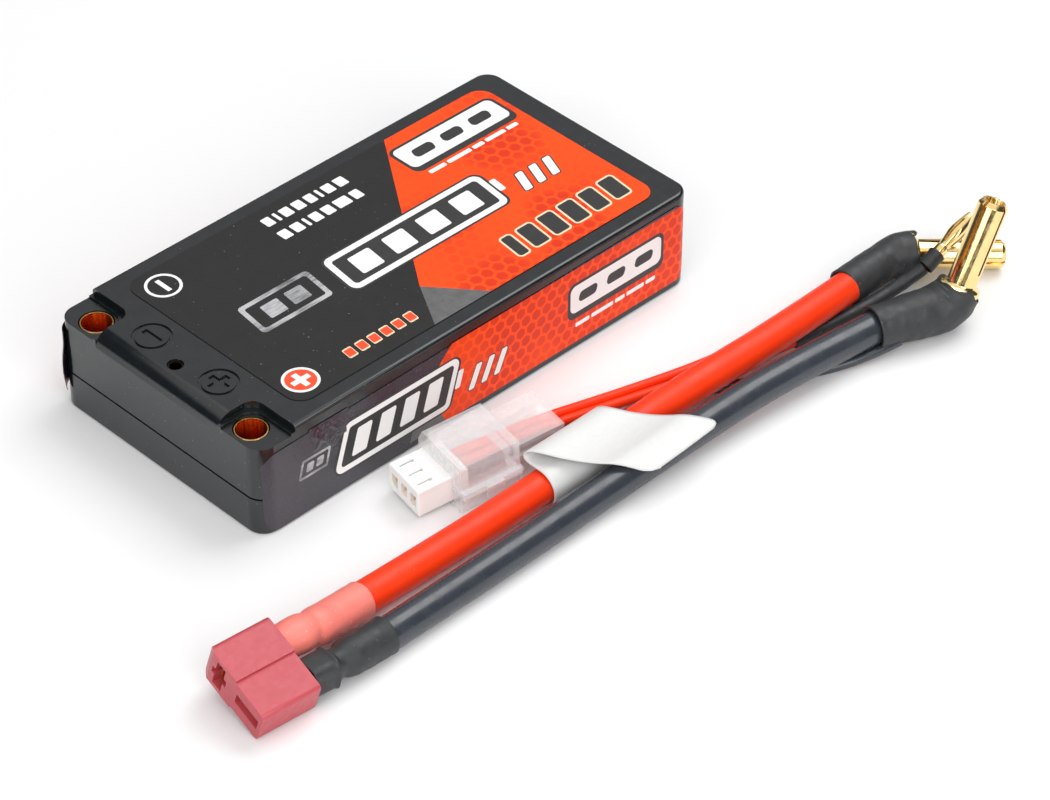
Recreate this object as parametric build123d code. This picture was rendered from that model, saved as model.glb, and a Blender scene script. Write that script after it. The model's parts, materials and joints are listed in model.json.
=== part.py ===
from build123d import *
import os
from math import pi, radians, tan

# Two-cell lithium polymer battery pack in a low hard case, with its detachable lead.
# Units are millimetres.  The origin is the middle of the pack's underside: +X runs along
# the pack away from its sockets, +Y across it away from the lead, and +Z is up.

os.makedirs("parts", exist_ok=True)

# ---------------------------------------------------------------- driving dimensions: case
CASE_LENGTH = 94.0
CASE_WIDTH = 47.5
CASE_HEIGHT = 18.5
CORNER_RADIUS = 3.0
WALL = 1.5
FLOOR = 1.4
SEAM_Z = 7.0
SEAM_GROOVE = 0.36
TONGUE_INSET = 0.8
TONGUE_HEIGHT = 1.4
TONGUE_GAP = 0.05
TOP_EDGE_FILLET = 0.7
BOTTOM_EDGE_FILLET = 0.5
END_ROUNDING = 2.7
RECESS_LENGTH = 7.4
RECESS_INNER_Y = 14.3
RECESS_DEPTH = 1.2
RECESS_LIP = 0.35
RECESS_CORNER = 2.2
RECESS_SHELF = 0.8
RIB_X = (-39.3, -38.3)
RIB_Y = (20.8, 22.4)
RIB_TOP = 6.4
SIGN_X = -40.9
SIGN_Y = 7.85
SIGN_DEPTH = 0.3
SIGN_RADIUS = 3.25
SIGN_RING_WIDTH = 0.5
SIGN_BAR = (1.15, 3.9)
SOCKET_BOSS_WALL = 1.2

# Sockets: 5 mm bullet sockets in the corner recesses and a 2 mm balance socket between them.
SOCKET_X = -43.55
SOCKET_Y = 18.15
SOCKET_BORE = 5.0
SOCKET_OUTER = 5.5
SOCKET_HOLE = 5.8
BALANCE_X = -42.9
BALANCE_BORE = 2.0
BALANCE_OUTER = 2.5
BALANCE_HOLE = 2.7
BALANCE_FOOT_Z = 5.5
SOCKET_BOSS_Z = 14.6
BALANCE_BOSS_Z = 12.3
BOARD_THICKNESS = 1.0
BOARD_X = (-45.3, -39.5)
BOARD_WIDTH = 43.2
HOLE_SPACING = 12.15
BOARD_HOLE = 1.0
SOCKET_FOOT = 0.6
BALANCE_SOCKET_FOOT = 0.8
SOCKET_RIM_DROP = 0.1

# Cells: two soft pouch cells stacked flat.
CELL_LENGTH = 81.5
CELL_WIDTH = 43.2
CELL_THICKNESS = 7.0
CELL_END_X = -37.0
CELL_GAP = 0.5
CELL_ROUNDING = 1.3
TERRACE_LENGTH = 2.4
TERRACE_WIDTH = 39.0
TERRACE_THICKNESS = 0.6
TAB_Y = 11.0
TAB_WIDTH = 8.0
TAB_THICKNESS = 0.2
CARD_X = (-40.15, -39.95)
CARD_WIDTH = 41.0
CARD_TOP = 14.5
STRIP_X = (-40.72, -40.42)
STRIP_WIDTH = 3.6

# Labels
LABEL_THICKNESS = 0.12
TOP_LABEL_START = -36.0
TOP_LABEL_END = 42.3
TOP_LABEL_WIDTH = 41.4
SIDE_LABEL_LENGTH = 91.6
SIDE_LABEL_HEIGHT = 15.2
SIDE_LABEL_TILT = 0.8

# ---------------------------------------------------------------- driving dimensions: lead
MAIN_WIRE = 5.5
THIN_WIRE = 1.7
BULLET_DIAMETER = 5.0
BULLET_LENGTH = 16.0
COLLAR_DIAMETER = 6.8
CUP_DIAMETER = 4.6
CUP_LENGTH = 3.6
BULLET_HOLLOW = 3.1
BULLET_SLOT = (0.48, 3.6)
PIN_PROFILE = [
    (0, -2.4), (0.7, -2.4), (0.7, 0), (1.15, 0), (1.15, 1.1), (0.95, 1.4), (1.4, 3.9), (1.4, 5.0),
    (1.0, 7.6), (0.8, 8.5), (0, 8.5),
]
PIN_HOLLOW = [(0, 2.4), (0.55, 2.4), (0.9, 4.4), (0.5, 6.8), (0, 6.8)]
PIN_SLOT = (0.32, 2.0, 7.0)
PIN_SLEEVE_DIAMETER = 3.0
PIN_SLEEVE_LENGTH = 3.4
SLEEVE_DIAMETER = 6.5
BLACK_SLEEVE_DIAMETER = 7.7
PLUG_SLEEVE_DIAMETER = 5.95

T_PLUG_LENGTH = 10.5
T_PLUG_WIDTH = 13.8
T_PLUG_THICK = 7.1
T_PLUG_THIN = 6.1
BLADE_SLOT = (9.6, 5.4, 2.0)
CROSS_SLOT = (4.0, 3.4, 1.4)
CONTACT_TAB = (6.0, 3.7, 0.9)
CONTACT_STRIP = (5.0, 0.5)
CONTACT_REAR = 9.5
SPRING_X = (2.9, 7.9)
SPRING_RADIUS = 3.0
SPRING_RISE = 0.6

BALANCE_PLUG_LENGTH = 9.4
BALANCE_PLUG_WIDTH = 8.2
BALANCE_PLUG_HEIGHT = 5.2
PIN_PITCH = 2.5
CAVITY = (1.6, 1.5, 3.7)
LATCH_SLIT = (1.0, 3.2, 0.28)
LATCH_WINDOW = 0.7
TERMINAL = (0.7, 6.6, 1.4)
TERMINAL_Z = (1.6, 3.5)
TERMINAL_WALL = 0.3
CRIMP = (1.1, 1.7, 2.9)
CRIMP_END = 9.3
CRIMP_GAP = 0.15

CLIP_FRONT = 6.1
CLIP_STEP = 17.2
CLIP_REAR = 26.9
CLIP_FAR = 4.9
CLIP_NEAR = -6.8
CLIP_TOP = 8.6
CLIP_BOTTOM = -0.6
CLIP_PARTING = 3.2
CLIP_REAR_TOP = 5.8
CLIP_WALL = 1.2
CLIP_ROOF = 1.0
CLIP_FLANGE = 0.9
CLIP_FLANGE_HEIGHT = 0.75
CLIP_LIP_HEIGHT = 0.5
CLIP_CHANNEL = ((-4.0, 2.6), (1.0, 4.7))
CLIP_REAR_BOTTOM = 0.1
HOOK_X = (10.1, 13.3)
HOOK_REACH = 0.6
HOOK_DEPTH = 1.5
HINGE_Y = 5.6
LID_GAP = 0.06

TAG_THICKNESS = 0.25
TAG_WIDTH = 15.7

# How far a piece that is joined or cut runs into its neighbour, and the least gap between pieces.
OVERLAP = 0.5
FIT_GAP = 0.04
CONTACT_GAP = 0.01

half_length = CASE_LENGTH / 2
half_width = CASE_WIDTH / 2
seam_top = SEAM_Z + SEAM_GROOVE / 2
seam_bottom = SEAM_Z - SEAM_GROOVE / 2
recess_floor = CASE_HEIGHT - RECESS_DEPTH


# ---------------------------------------------------------------- small helpers
def save(solid, node):
    """Write one node and print its volume."""
    export_step(solid, "parts/" + node + ".step")
    print(f"{node:24s} {solid.volume:10.2f} mm3  solids {len(solid.solids())}")


def block(x, y, z):
    """A box given by its low and high limits along each axis."""
    size = [high - low for low, high in (x, y, z)]
    middle = [(high + low) / 2 for low, high in (x, y, z)]
    return Pos(*middle) * Box(*size)


def rounded_block(length, width, radius, low, high):
    """An upright block with rounded vertical corners, centred on the Z axis."""
    return Pos(0, 0, low) * extrude(RectangleRounded(length, width, radius), high - low)


def around(middle, width):
    """Limits of a width centred on a place."""
    return (middle - width / 2, middle + width / 2)


def inset_block(inset, low, high):
    """The case's plan drawn in by an inset all round."""
    return rounded_block(
        CASE_LENGTH - 2 * inset, CASE_WIDTH - 2 * inset, CORNER_RADIUS - inset, low, high,
    )


def upright(x, y, diameter, low, high):
    """A vertical cylinder."""
    return Pos(x, y, (low + high) / 2) * Cylinder(diameter / 2, high - low)


def turned(profile, plane=Plane.XZ):
    """A solid of revolution about Z from (radius, height) points."""
    face = plane * make_face(Polyline(*profile, close=True))
    return revolve(face, Axis.Z, 360)


def edges_near(solid, keep):
    """The edges whose middle point passes the test."""
    return [edge for edge in solid.edges() if keep(edge.center())]


# ---------------------------------------------------------------- pack: case shells
def lower_shell():
    """Tray with a rebated rim, two ribs and clearance for the sockets."""
    outer = rounded_block(CASE_LENGTH, CASE_WIDTH, CORNER_RADIUS, 0, seam_bottom)
    outer = fillet(outer.faces().sort_by(Axis.Z)[0].edges(), BOTTOM_EDGE_FILLET)
    tongue_top = seam_top + TONGUE_HEIGHT
    neck = inset_block(SEAM_GROOVE, seam_bottom - OVERLAP, seam_top)
    tongue = inset_block(TONGUE_INSET, seam_bottom - OVERLAP, tongue_top)
    shell = outer + neck + tongue - inset_block(WALL, FLOOR, tongue_top + OVERLAP)
    for side in (-1, 1):
        rib_y = tuple(sorted(side * y for y in RIB_Y))
        shell += block(RIB_X, rib_y, (FLOOR - OVERLAP, RIB_TOP))
        shell -= upright(SOCKET_X, side * SOCKET_Y, SOCKET_HOLE, FLOOR, tongue_top + OVERLAP)
    return shell


def circled_sign(plus):
    """Ring with a plus or a minus inside, as a flat engraving tool. The minus lies along Y."""
    ring = Circle(SIGN_RADIUS) - Circle(SIGN_RADIUS - SIGN_RING_WIDTH)
    sign = Rectangle(*SIGN_BAR)
    if plus:
        sign += Rectangle(*reversed(SIGN_BAR))
    return ring + sign


def upper_shell():
    """Cover with corner recesses, socket bosses and engraved polarity signs."""
    outer = rounded_block(CASE_LENGTH, CASE_WIDTH, CORNER_RADIUS, seam_top, CASE_HEIGHT)
    outer = fillet(outer.faces().sort_by(Axis.Z)[-1].edges(), TOP_EDGE_FILLET)
    shell = outer - inset_block(WALL, seam_top - OVERLAP, CASE_HEIGHT - WALL)
    shell -= inset_block(TONGUE_INSET - TONGUE_GAP, seam_top - OVERLAP,
                         seam_top + TONGUE_HEIGHT + 2 * TONGUE_GAP)
    # Solid corner pads below the recesses, and bosses that hold the three sockets.
    under_skin = CASE_HEIGHT - WALL + OVERLAP
    bosses = upright(BALANCE_X, 0, BALANCE_HOLE + 2 * SOCKET_BOSS_WALL, BALANCE_BOSS_Z, under_skin)
    pad_x = (WALL / 2 - half_length, RECESS_LENGTH + WALL / 2 - half_length)
    pad_z = (recess_floor - RECESS_LIP - WALL / 2 - OVERLAP, under_skin)
    for side in (-1, 1):
        boss_diameter = SOCKET_HOLE + 2 * SOCKET_BOSS_WALL
        bosses += upright(SOCKET_X, side * SOCKET_Y, boss_diameter, SOCKET_BOSS_Z, pad_z[1] - 1)
        pad_y = (side * (RECESS_INNER_Y - WALL / 2), side * (half_width - WALL / 2))
        bosses += block(pad_x, tuple(sorted(pad_y)), pad_z)
    shell += bosses & outer
    # Large soft rounding along the socket end, between the two recesses.
    corner = block(
        (-half_length - 1, -half_length + END_ROUNDING), (-RECESS_INNER_Y, RECESS_INNER_Y),
        (CASE_HEIGHT - END_ROUNDING, CASE_HEIGHT + 1),
    )
    round_bar = Pos(-half_length + END_ROUNDING, 0, CASE_HEIGHT - END_ROUNDING)
    round_bar = round_bar * Rot(X=90) * Cylinder(END_ROUNDING, CASE_WIDTH)
    shell -= corner - round_bar
    for side in (-1, 1):
        for inset, floor_z in ((0, recess_floor), (RECESS_SHELF, recess_floor - RECESS_LIP)):
            length = 2 * (RECESS_LENGTH - inset)
            width = 2 * (half_width - RECESS_INNER_Y - inset)
            tool = extrude(RectangleRounded(length, width, RECESS_CORNER), END_ROUNDING)
            shell -= Pos(-half_length, side * half_width, floor_z) * tool
        shell -= upright(SOCKET_X, side * SOCKET_Y, SOCKET_HOLE, seam_top - OVERLAP, CASE_HEIGHT)
        sign = extrude(circled_sign(plus=side < 0), 2 * SIGN_DEPTH)
        shell -= Pos(SIGN_X, side * SIGN_Y, CASE_HEIGHT - SIGN_DEPTH) * sign
    shell -= upright(BALANCE_X, 0, BALANCE_HOLE, seam_top + OVERLAP, CASE_HEIGHT + OVERLAP)
    return shell


# ---------------------------------------------------------------- pack: inside
def cell(bottom):
    """Pouch cell: soft-cornered body with the sealed terrace that its tabs come out of."""
    body = Pos(CELL_END_X + CELL_LENGTH / 2, 0, bottom + CELL_THICKNESS / 2)
    body = body * Box(CELL_LENGTH, CELL_WIDTH, CELL_THICKNESS)
    body = fillet(body.edges(), CELL_ROUNDING)
    middle = bottom + CELL_THICKNESS / 2
    terrace = block(
        (CELL_END_X - TERRACE_LENGTH, CELL_END_X + OVERLAP),
        (-TERRACE_WIDTH / 2, TERRACE_WIDTH / 2),
        (middle - TERRACE_THICKNESS / 2, middle + TERRACE_THICKNESS / 2),
    )
    return body + terrace


def tabs(bottom):
    """The pair of thin metal tabs of one cell."""
    middle = bottom + CELL_THICKNESS / 2
    length = CELL_END_X - TERRACE_LENGTH - STRIP_X[1] - FIT_GAP
    tab = Box(length, TAB_WIDTH, TAB_THICKNESS)
    x = STRIP_X[1] + FIT_GAP + length / 2
    return Compound(children=[Pos(x, side * TAB_Y, middle) * tab for side in (-1, 1)])


def bullet_socket(side, board_top):
    """Gold-plated tube, closed at its foot, for a 5 mm bullet."""
    top = recess_floor - RECESS_LIP - SOCKET_RIM_DROP
    tube = upright(SOCKET_X, side * SOCKET_Y, SOCKET_OUTER, board_top, top)
    rim = tube.faces().sort_by(Axis.Z)[-1].edges()
    bore = upright(SOCKET_X, side * SOCKET_Y, SOCKET_BORE, board_top + SOCKET_FOOT, top + 1)
    return chamfer(rim, SOCKET_RIM_DROP) - bore


def balance_socket(board_top):
    """Small socket for the balance pin, on a solder leg."""
    leg = upright(BALANCE_X, 0, BALANCE_OUTER / 2, board_top, BALANCE_FOOT_Z)
    tube = upright(BALANCE_X, 0, BALANCE_OUTER, BALANCE_FOOT_Z, CASE_HEIGHT - RECESS_LIP)
    bore_foot = BALANCE_FOOT_Z + BALANCE_SOCKET_FOOT
    return leg + tube - upright(BALANCE_X, 0, BALANCE_BORE, bore_foot, CASE_HEIGHT)


def socket_board(top):
    """Glass-fibre board that the sockets stand on, with three wire holes."""
    board = block(BOARD_X, (-BOARD_WIDTH / 2, BOARD_WIDTH / 2), (top - BOARD_THICKNESS, top))
    for y in (-HOLE_SPACING, 0, HOLE_SPACING):
        hole_x = BOARD_X[1] - 1.5 * BOARD_HOLE
        board -= upright(hole_x, y, BOARD_HOLE, top - BOARD_THICKNESS - OVERLAP, top + OVERLAP)
    return board


def busbar(side, middle):
    """Strip from a bullet socket to the cell tab behind it."""
    x = (SOCKET_X + SOCKET_OUTER / 2 + CONTACT_GAP, STRIP_X[1])
    y = tuple(sorted((side * (TAB_Y - 3.0), side * (SOCKET_Y + 1.85))))
    return block(x, y, (middle - STRIP_WIDTH / 2, middle + STRIP_WIDTH / 2))


def series_busbar(lower_middle, upper_middle):
    """Slanted strip that joins the two cells in series."""
    reach = TAB_Y + 3.5
    inner = TAB_Y - 3.5
    half = STRIP_WIDTH / 2 - 0.2
    outline = Polyline(
        (-reach, lower_middle - half), (-inner, lower_middle - half), (reach, upper_middle - half),
        (reach, upper_middle + half), (inner, upper_middle + half), (-reach, lower_middle + half),
        close=True,
    )
    return extrude(Plane.YZ.offset(STRIP_X[0]) * make_face(outline), STRIP_X[1] - STRIP_X[0])


def insulation_card():
    """Thin card between the cells and the strips, slotted for the four tabs."""
    card = block(CARD_X, (-CARD_WIDTH / 2, CARD_WIDTH / 2), (board_top + 0.15, CARD_TOP))
    slot = Box(2, TAB_WIDTH + 0.6, TAB_THICKNESS + 0.5)
    for middle in tab_heights:
        for side in (-1, 1):
            card -= Pos(CARD_X[0], side * TAB_Y, middle) * slot
    return card


# ---------------------------------------------------------------- pack: labels
def side_label():
    """Printed wrap on the lead side, stuck on slightly askew and turning onto the corner."""
    skin = rounded_block(
        CASE_LENGTH + 2 * LABEL_THICKNESS, CASE_WIDTH + 2 * LABEL_THICKNESS,
        CORNER_RADIUS + LABEL_THICKNESS, 0, CASE_HEIGHT,
    )
    skin -= rounded_block(CASE_LENGTH, CASE_WIDTH, CORNER_RADIUS, -1, CASE_HEIGHT + 1)
    outline = RectangleRounded(SIDE_LABEL_LENGTH, SIDE_LABEL_HEIGHT, 2.6)
    tool = Pos(-0.2, -half_width + 2.0, 8.55) * Rot(Y=-SIDE_LABEL_TILT) * Rot(X=90)
    return skin & (tool * extrude(outline, 4.0))


def top_label():
    length = TOP_LABEL_END - TOP_LABEL_START
    middle = (TOP_LABEL_END + TOP_LABEL_START) / 2
    outline = RectangleRounded(length, TOP_LABEL_WIDTH, 3.0)
    return Pos(middle, 0, CASE_HEIGHT) * extrude(outline, LABEL_THICKNESS)


# ---------------------------------------------------------------- lead: free wires
def corner_radii(points):
    """The largest arc that each pair of runs allows: 0.45 of the shorter run."""
    radii = []
    for before, at, after in zip(points, points[1:], points[2:]):
        first = Vector(*at) - Vector(*before)
        second = Vector(*after) - Vector(*at)
        half_turn = radians(first.get_angle(second)) / 2
        radii.append(0.45 * min(first.length, second.length) / tan(half_turn))
    return radii


def wire(points, diameter, node):
    """A plain round wire along straight runs joined by tangent arcs."""
    radii = corner_radii(points)
    path = FilletPolyline(*points, radius=radii)
    section = Plane(origin=path @ 0, z_dir=path % 0) * Circle(diameter / 2)
    solid = sweep(section, path=path)
    expected = pi * diameter ** 2 / 4 * path.length
    print(f"{node}: length {path.length:.1f}, radii {[round(r, 1) for r in radii]}, "
          f"volume ratio {solid.volume / expected:.4f}")
    return solid


# Every route runs from the plug end to the bullet end.
RED_ROUTE = [
    (-50.2, -46.5, 3.0), (-24.0, -47.1, 2.78), (1.0, -46.5, 2.85), (23.0, -47.3, 4.5),
    (43.0, -48.2, 5.0), (62.6, -46.7, 3.9),
]
BLACK_ROUTE = [
    (-52.6, -54.9, 3.0), (-29.0, -54.7, 2.78), (-7.0, -54.2, 2.85), (15.0, -54.6, 3.9),
    (36.0, -55.6, 5.1), (57.0, -57.6, 4.4),
]


# ---------------------------------------------------------------- lead: main connector
def t_plug_place():
    return Pos(-76.3, -50.4, 5.2) * Rot(Z=-4.9) * Rot(X=19.0)


def t_plug_housing():
    """Two-blade plug body: a thick half for the upright blade, a thin half for the flat one."""
    quarter = T_PLUG_WIDTH / 4
    thick = Pos(T_PLUG_LENGTH / 2, quarter, 0) * Box(T_PLUG_LENGTH, 2 * quarter, T_PLUG_THICK)
    thin = Pos(T_PLUG_LENGTH / 2, -quarter + 0.5, 0)
    thin = thin * Box(T_PLUG_LENGTH, 2 * quarter + 1, T_PLUG_THIN)
    edge = T_PLUG_WIDTH / 2 - 0.1
    front_corner = edges_near(thick, lambda c: c.Y > edge and abs(c.Z) < 0.1 and c.X < 0.1)
    thick = chamfer(front_corner, 1.2, 0.7)
    thick = fillet(edges_near(thick, lambda c: c.Y > edge and abs(c.Z) > 1 and c.X > 1), 0.9)
    thin = fillet(edges_near(thin, lambda c: c.Y < -edge and abs(c.Z) > 1 and c.X > 1), 0.7)
    body = thick + thin
    depth, length, width = (BLADE_SLOT[0], BLADE_SLOT[1] / 2, BLADE_SLOT[2] / 2)
    body -= block((-1, depth), (quarter - width, quarter + width), (-length, length))
    body -= block((-1, depth), (-quarter - length, -quarter + length), (-width, width))
    depth, length, width = (CROSS_SLOT[0], CROSS_SLOT[1] / 2, CROSS_SLOT[2] / 2)
    body -= block((-1, depth), (quarter - length, quarter + length), (-width, width))
    # Ways out at the back for the two solder tabs.
    length = CONTACT_TAB[1] / 2 + FIT_GAP
    width = CONTACT_TAB[2] / 2 + FIT_GAP
    back = (CONTACT_REAR - OVERLAP, T_PLUG_LENGTH + 1)
    body -= block(back, (quarter - width, quarter + width), (-length, length))
    body -= block(back, (-quarter - length, -quarter + length), (-width, width))
    return body


def t_plug_contact():
    """Gold-plated contact lying flat: a strip with a raised spring, and a solder tab at the back."""
    tab_length, tab_width, tab_thickness = CONTACT_TAB
    strip_width, strip_thickness = CONTACT_STRIP
    across = (-tab_width / 2, tab_width / 2)
    top = -tab_thickness / 2
    strip_z = (top - strip_thickness, top)
    strip = block((1.2, CONTACT_REAR), (-strip_width / 2, strip_width / 2), strip_z)
    tab = block((CONTACT_REAR - OVERLAP, CONTACT_REAR - OVERLAP + tab_length), across, (top, -top))
    bridge = block((CONTACT_REAR - 0.8, CONTACT_REAR), across, (strip_z[0], -top))
    spring = Pos(sum(SPRING_X) / 2, 0, top) * Rot(X=90) * Cylinder(SPRING_RADIUS, tab_width - 0.1)
    spring = spring & block(SPRING_X, across, (top - FIT_GAP, top + SPRING_RISE))
    return strip + tab + bridge + spring


# ---------------------------------------------------------------- lead: sleeves and bullets
def along(start, end):
    """A frame at start whose Z axis points to end."""
    return Plane(origin=start, z_dir=Vector(*end) - Vector(*start)).location


def plug_sleeve(start, end, waist):
    """Heat-shrink sleeve from a solder tab onto its wire, drawn in behind the joint."""
    length = (Vector(*end) - Vector(*start)).length
    full = PLUG_SLEEVE_DIAMETER / 2
    profile = [
        (0, 0.3), (2.7, 0.3), (2.7, 2.8), (waist, 4.6), (full, 10.5), (full, length), (0, length),
    ]
    return along(start, end) * turned(profile)


def bullet_sleeve(mouth, knee, collar, diameter):
    """Heat-shrink sleeve that bends with the stiff bullet at its end."""
    first = Vector(*knee) - Vector(*mouth)
    last = Vector(*collar) - Vector(*knee)
    half_turn = radians(first.get_angle(last)) / 2
    radius = 0.95 * last.length / tan(half_turn)
    path = FilletPolyline(mouth, knee, collar, radius=radius)
    section = Plane(origin=path @ 0, z_dir=path % 0) * Circle(diameter / 2)
    return sweep(section, path=path)


def cross_slots(width, low, high):
    """Two crossed slots along Z that part a turned tip into four petals."""
    slot = block((-COLLAR_DIAMETER, COLLAR_DIAMETER), (-width / 2, width / 2), (low, high))
    return slot + Rot(Z=90) * slot


def bullet():
    """Slotted 5 mm bullet along Z: solder cup below the collar, four petals above it."""
    r = BULLET_DIAMETER / 2
    collar = COLLAR_DIAMETER / 2
    cup = CUP_DIAMETER / 2
    hollow = BULLET_HOLLOW / 2
    slot_width, slot_foot = BULLET_SLOT
    profile = [
        (0, -CUP_LENGTH), (cup, -CUP_LENGTH), (cup, -0.4), (collar, -0.4), (collar, 0.5),
        (r + 0.25, 0.9), (r, 1.3), (r, BULLET_LENGTH - 0.7), (r - 0.55, BULLET_LENGTH),
        (hollow, BULLET_LENGTH), (hollow, slot_foot - 0.4), (0, slot_foot - 0.4),
    ]
    return turned(profile) - cross_slots(slot_width, slot_foot, BULLET_LENGTH + 1)


def balance_pin():
    """2 mm balance pin along Z with a bulged, slotted middle."""
    return turned(PIN_PROFILE) - turned(PIN_HOLLOW) - cross_slots(*PIN_SLOT)


RED_MOUTH = (60.0, -46.5, 3.75)
RED_KNEE = (73.0, -46.4, 4.05)
RED_COLLAR = (74.3, -47.85, 4.0)
RED_TIP = (86.7, -57.6, 2.6)
BLACK_MOUTH = (54.6, -57.35, 4.45)
BLACK_KNEE = (68.7, -62.0, 4.3)
BLACK_COLLAR = (70.0, -62.2, 7.0)
BLACK_TIP = (75.8, -62.8, 20.5)
PIN_BASE = (74.8, -53.5, 7.0)
PIN_TIP = (82.0, -54.05, 11.0)


# ---------------------------------------------------------------- lead: balance plug and clip
def clip_place():
    return Pos(-25.95, -32.9, 0.75) * Rot(Z=-9.5) * Rot(Y=-3.0) * Rot(X=3.0)


def balance_plug_housing():
    """Three-way plug: a cavity and a latch window for each contact."""
    half = BALANCE_PLUG_WIDTH / 2
    body = block((0, BALANCE_PLUG_LENGTH), (-half, half), (0, BALANCE_PLUG_HEIGHT))
    body = fillet(body.edges(), 0.3)
    roof = CAVITY[2] - 0.2
    above = BALANCE_PLUG_HEIGHT + 1
    for y in (-PIN_PITCH, 0, PIN_PITCH):
        body -= block((-1, BALANCE_PLUG_LENGTH + 1), around(y, CAVITY[0]), CAVITY[1:])
        body -= block(LATCH_SLIT[:2], around(y, LATCH_SLIT[2]), (roof, above))
        body -= upright(LATCH_SLIT[1] + 0.1, y, LATCH_WINDOW, roof, above)
    return body


def balance_plug_terminals():
    """The three crimp contacts inside the plug."""
    front, back, width = TERMINAL
    low, high = TERMINAL_Z
    contacts = []
    for y in (-PIN_PITCH, 0, PIN_PITCH):
        shell = block((front, back), around(y, width), TERMINAL_Z)
        shell -= block((front - 1, back - 1.2), around(y, width - 2 * TERMINAL_WALL),
                       (low + TERMINAL_WALL, high - TERMINAL_WALL))
        crimp = block((back - OVERLAP, CRIMP_END), around(y, CRIMP[0]), CRIMP[1:])
        contacts.append(shell + crimp)
    return Compound(children=contacts)


def clip_cavity():
    """Room inside the clip for the plug, its wires and their way out."""
    far_wall = BALANCE_PLUG_WIDTH / 2 + 0.05
    floor = -FIT_GAP / 2
    room_x = (CLIP_FRONT + CLIP_WALL, CLIP_STEP - CLIP_WALL)
    plug_room = block(room_x, (CLIP_NEAR + CLIP_WALL, far_wall), (floor, CLIP_TOP - CLIP_ROOF))
    mouth = block((CLIP_FRONT - 1, CLIP_FRONT + 2), (-far_wall - 0.35, far_wall),
                  (floor, BALANCE_PLUG_HEIGHT + 0.05))
    channel = block((CLIP_STEP - 2, CLIP_REAR + 1), *CLIP_CHANNEL)
    return plug_room + mouth + channel


def clip_body():
    """Outside of the closed clip: a tall front block and a low rear block."""
    front_outline = Polyline(
        (CLIP_NEAR, CLIP_BOTTOM), (CLIP_FAR, CLIP_BOTTOM), (CLIP_FAR, CLIP_TOP - 2.0),
        (CLIP_FAR - 1.0, CLIP_TOP), (CLIP_NEAR + 0.3, CLIP_TOP), (CLIP_NEAR, CLIP_PARTING + 0.8),
        close=True,
    )
    front = extrude(Plane.YZ.offset(CLIP_FRONT) * make_face(front_outline), CLIP_STEP - CLIP_FRONT)
    rear_y = (CLIP_NEAR + 1.9, CLIP_FAR - 0.8)
    rear = block((CLIP_STEP - OVERLAP, CLIP_REAR), rear_y, (CLIP_REAR_BOTTOM, CLIP_REAR_TOP))
    return front + rear


def clip_half(low, high):
    """One half of the clip, between two heights."""
    half = clip_body() & block((0, 40), (-20, 20), (low, high))
    return half - clip_cavity()


def clip_rims(flange_z, lip_z):
    """Flange along the near side and lip along the hinge side."""
    flange = block((CLIP_FRONT, CLIP_STEP), (CLIP_NEAR - CLIP_FLANGE, CLIP_NEAR + OVERLAP), flange_z)
    lip = block((CLIP_FRONT + 2.5, CLIP_STEP - 2.5), (CLIP_FAR - OVERLAP, HINGE_Y), lip_z)
    return flange + lip


def plug_clip_base():
    top = CLIP_PARTING
    rims = clip_rims((top - CLIP_FLANGE_HEIGHT, top), (top - CLIP_LIP_HEIGHT, top))
    return clip_half(CLIP_BOTTOM - 1, top) + rims


def plug_clip_lid():
    """Upper half, with the hook that snaps under the base's flange."""
    low = CLIP_PARTING + LID_GAP
    flange_z = (low, low + CLIP_FLANGE_HEIGHT)
    rims = clip_rims(flange_z, (low, low + CLIP_LIP_HEIGHT))
    outer = CLIP_NEAR - CLIP_FLANGE - HOOK_REACH
    hook = block(HOOK_X, (outer, outer + HOOK_REACH - 0.1), (CLIP_PARTING - HOOK_DEPTH, flange_z[1]))
    hook += block(HOOK_X, (outer, CLIP_NEAR - OVERLAP), flange_z)
    return clip_half(low, CLIP_TOP + 1) + rims + hook


# ---------------------------------------------------------------- lead: wire tag
def wire_tag():
    """Blank strip glued round the red wire, curling over it and lying across both wires."""
    start_x = -10.2
    centre = (-46.7, 2.86)
    radius = MAIN_WIRE / 2 + 0.4 + TAG_THICKNESS / 2
    top = (centre[0], centre[1] + radius)
    curl_top = (-44.6, 9.2)
    # Up the near side of the wire and over its top, then up into a loose roll.
    wrap = CenterArc(centre, radius, 90, 138)
    rise = Bezier(top, (top[0] + 2.6, top[1] + 0.1), (-42.75, 7.2))
    roll = Bezier((-42.75, 7.2), (-42.4, 9.0), curl_top)
    curl = extrude(
        Plane.YZ.offset(start_x) * trace([wrap, rise, roll], TAG_THICKNESS), TAG_WIDTH,
    )
    # The free part heads off at a slant, so its outline is drawn in a slanted upright plane.
    heading = Vector(0.607, -0.795, 0)
    plane = Plane(origin=(start_x, curl_top[0], 0), x_dir=heading, z_dir=heading.cross(Vector(0, 0, 1)))
    flight_line = Bezier((0, curl_top[1]), (4.5, 9.6), (7.5, 6.9), (12.0, 8.2), (17.8, 6.0))
    flight = extrude(plane * trace(flight_line, TAG_THICKNESS), TAG_WIDTH, dir=(1, 0, 0))
    return curl + flight


# ---------------------------------------------------------------- build everything
board_top = FLOOR + BOARD_THICKNESS + FIT_GAP
lower_cell_bottom = FLOOR + 0.15
upper_cell_bottom = lower_cell_bottom + CELL_THICKNESS + CELL_GAP
tab_heights = (lower_cell_bottom + CELL_THICKNESS / 2, upper_cell_bottom + CELL_THICKNESS / 2)

save(lower_shell(), "lower_shell")
save(upper_shell(), "upper_shell")
save(cell(lower_cell_bottom), "lower_cell")
save(cell(upper_cell_bottom), "upper_cell")
save(tabs(lower_cell_bottom), "lower_cell_tabs")
save(tabs(upper_cell_bottom), "upper_cell_tabs")

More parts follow.
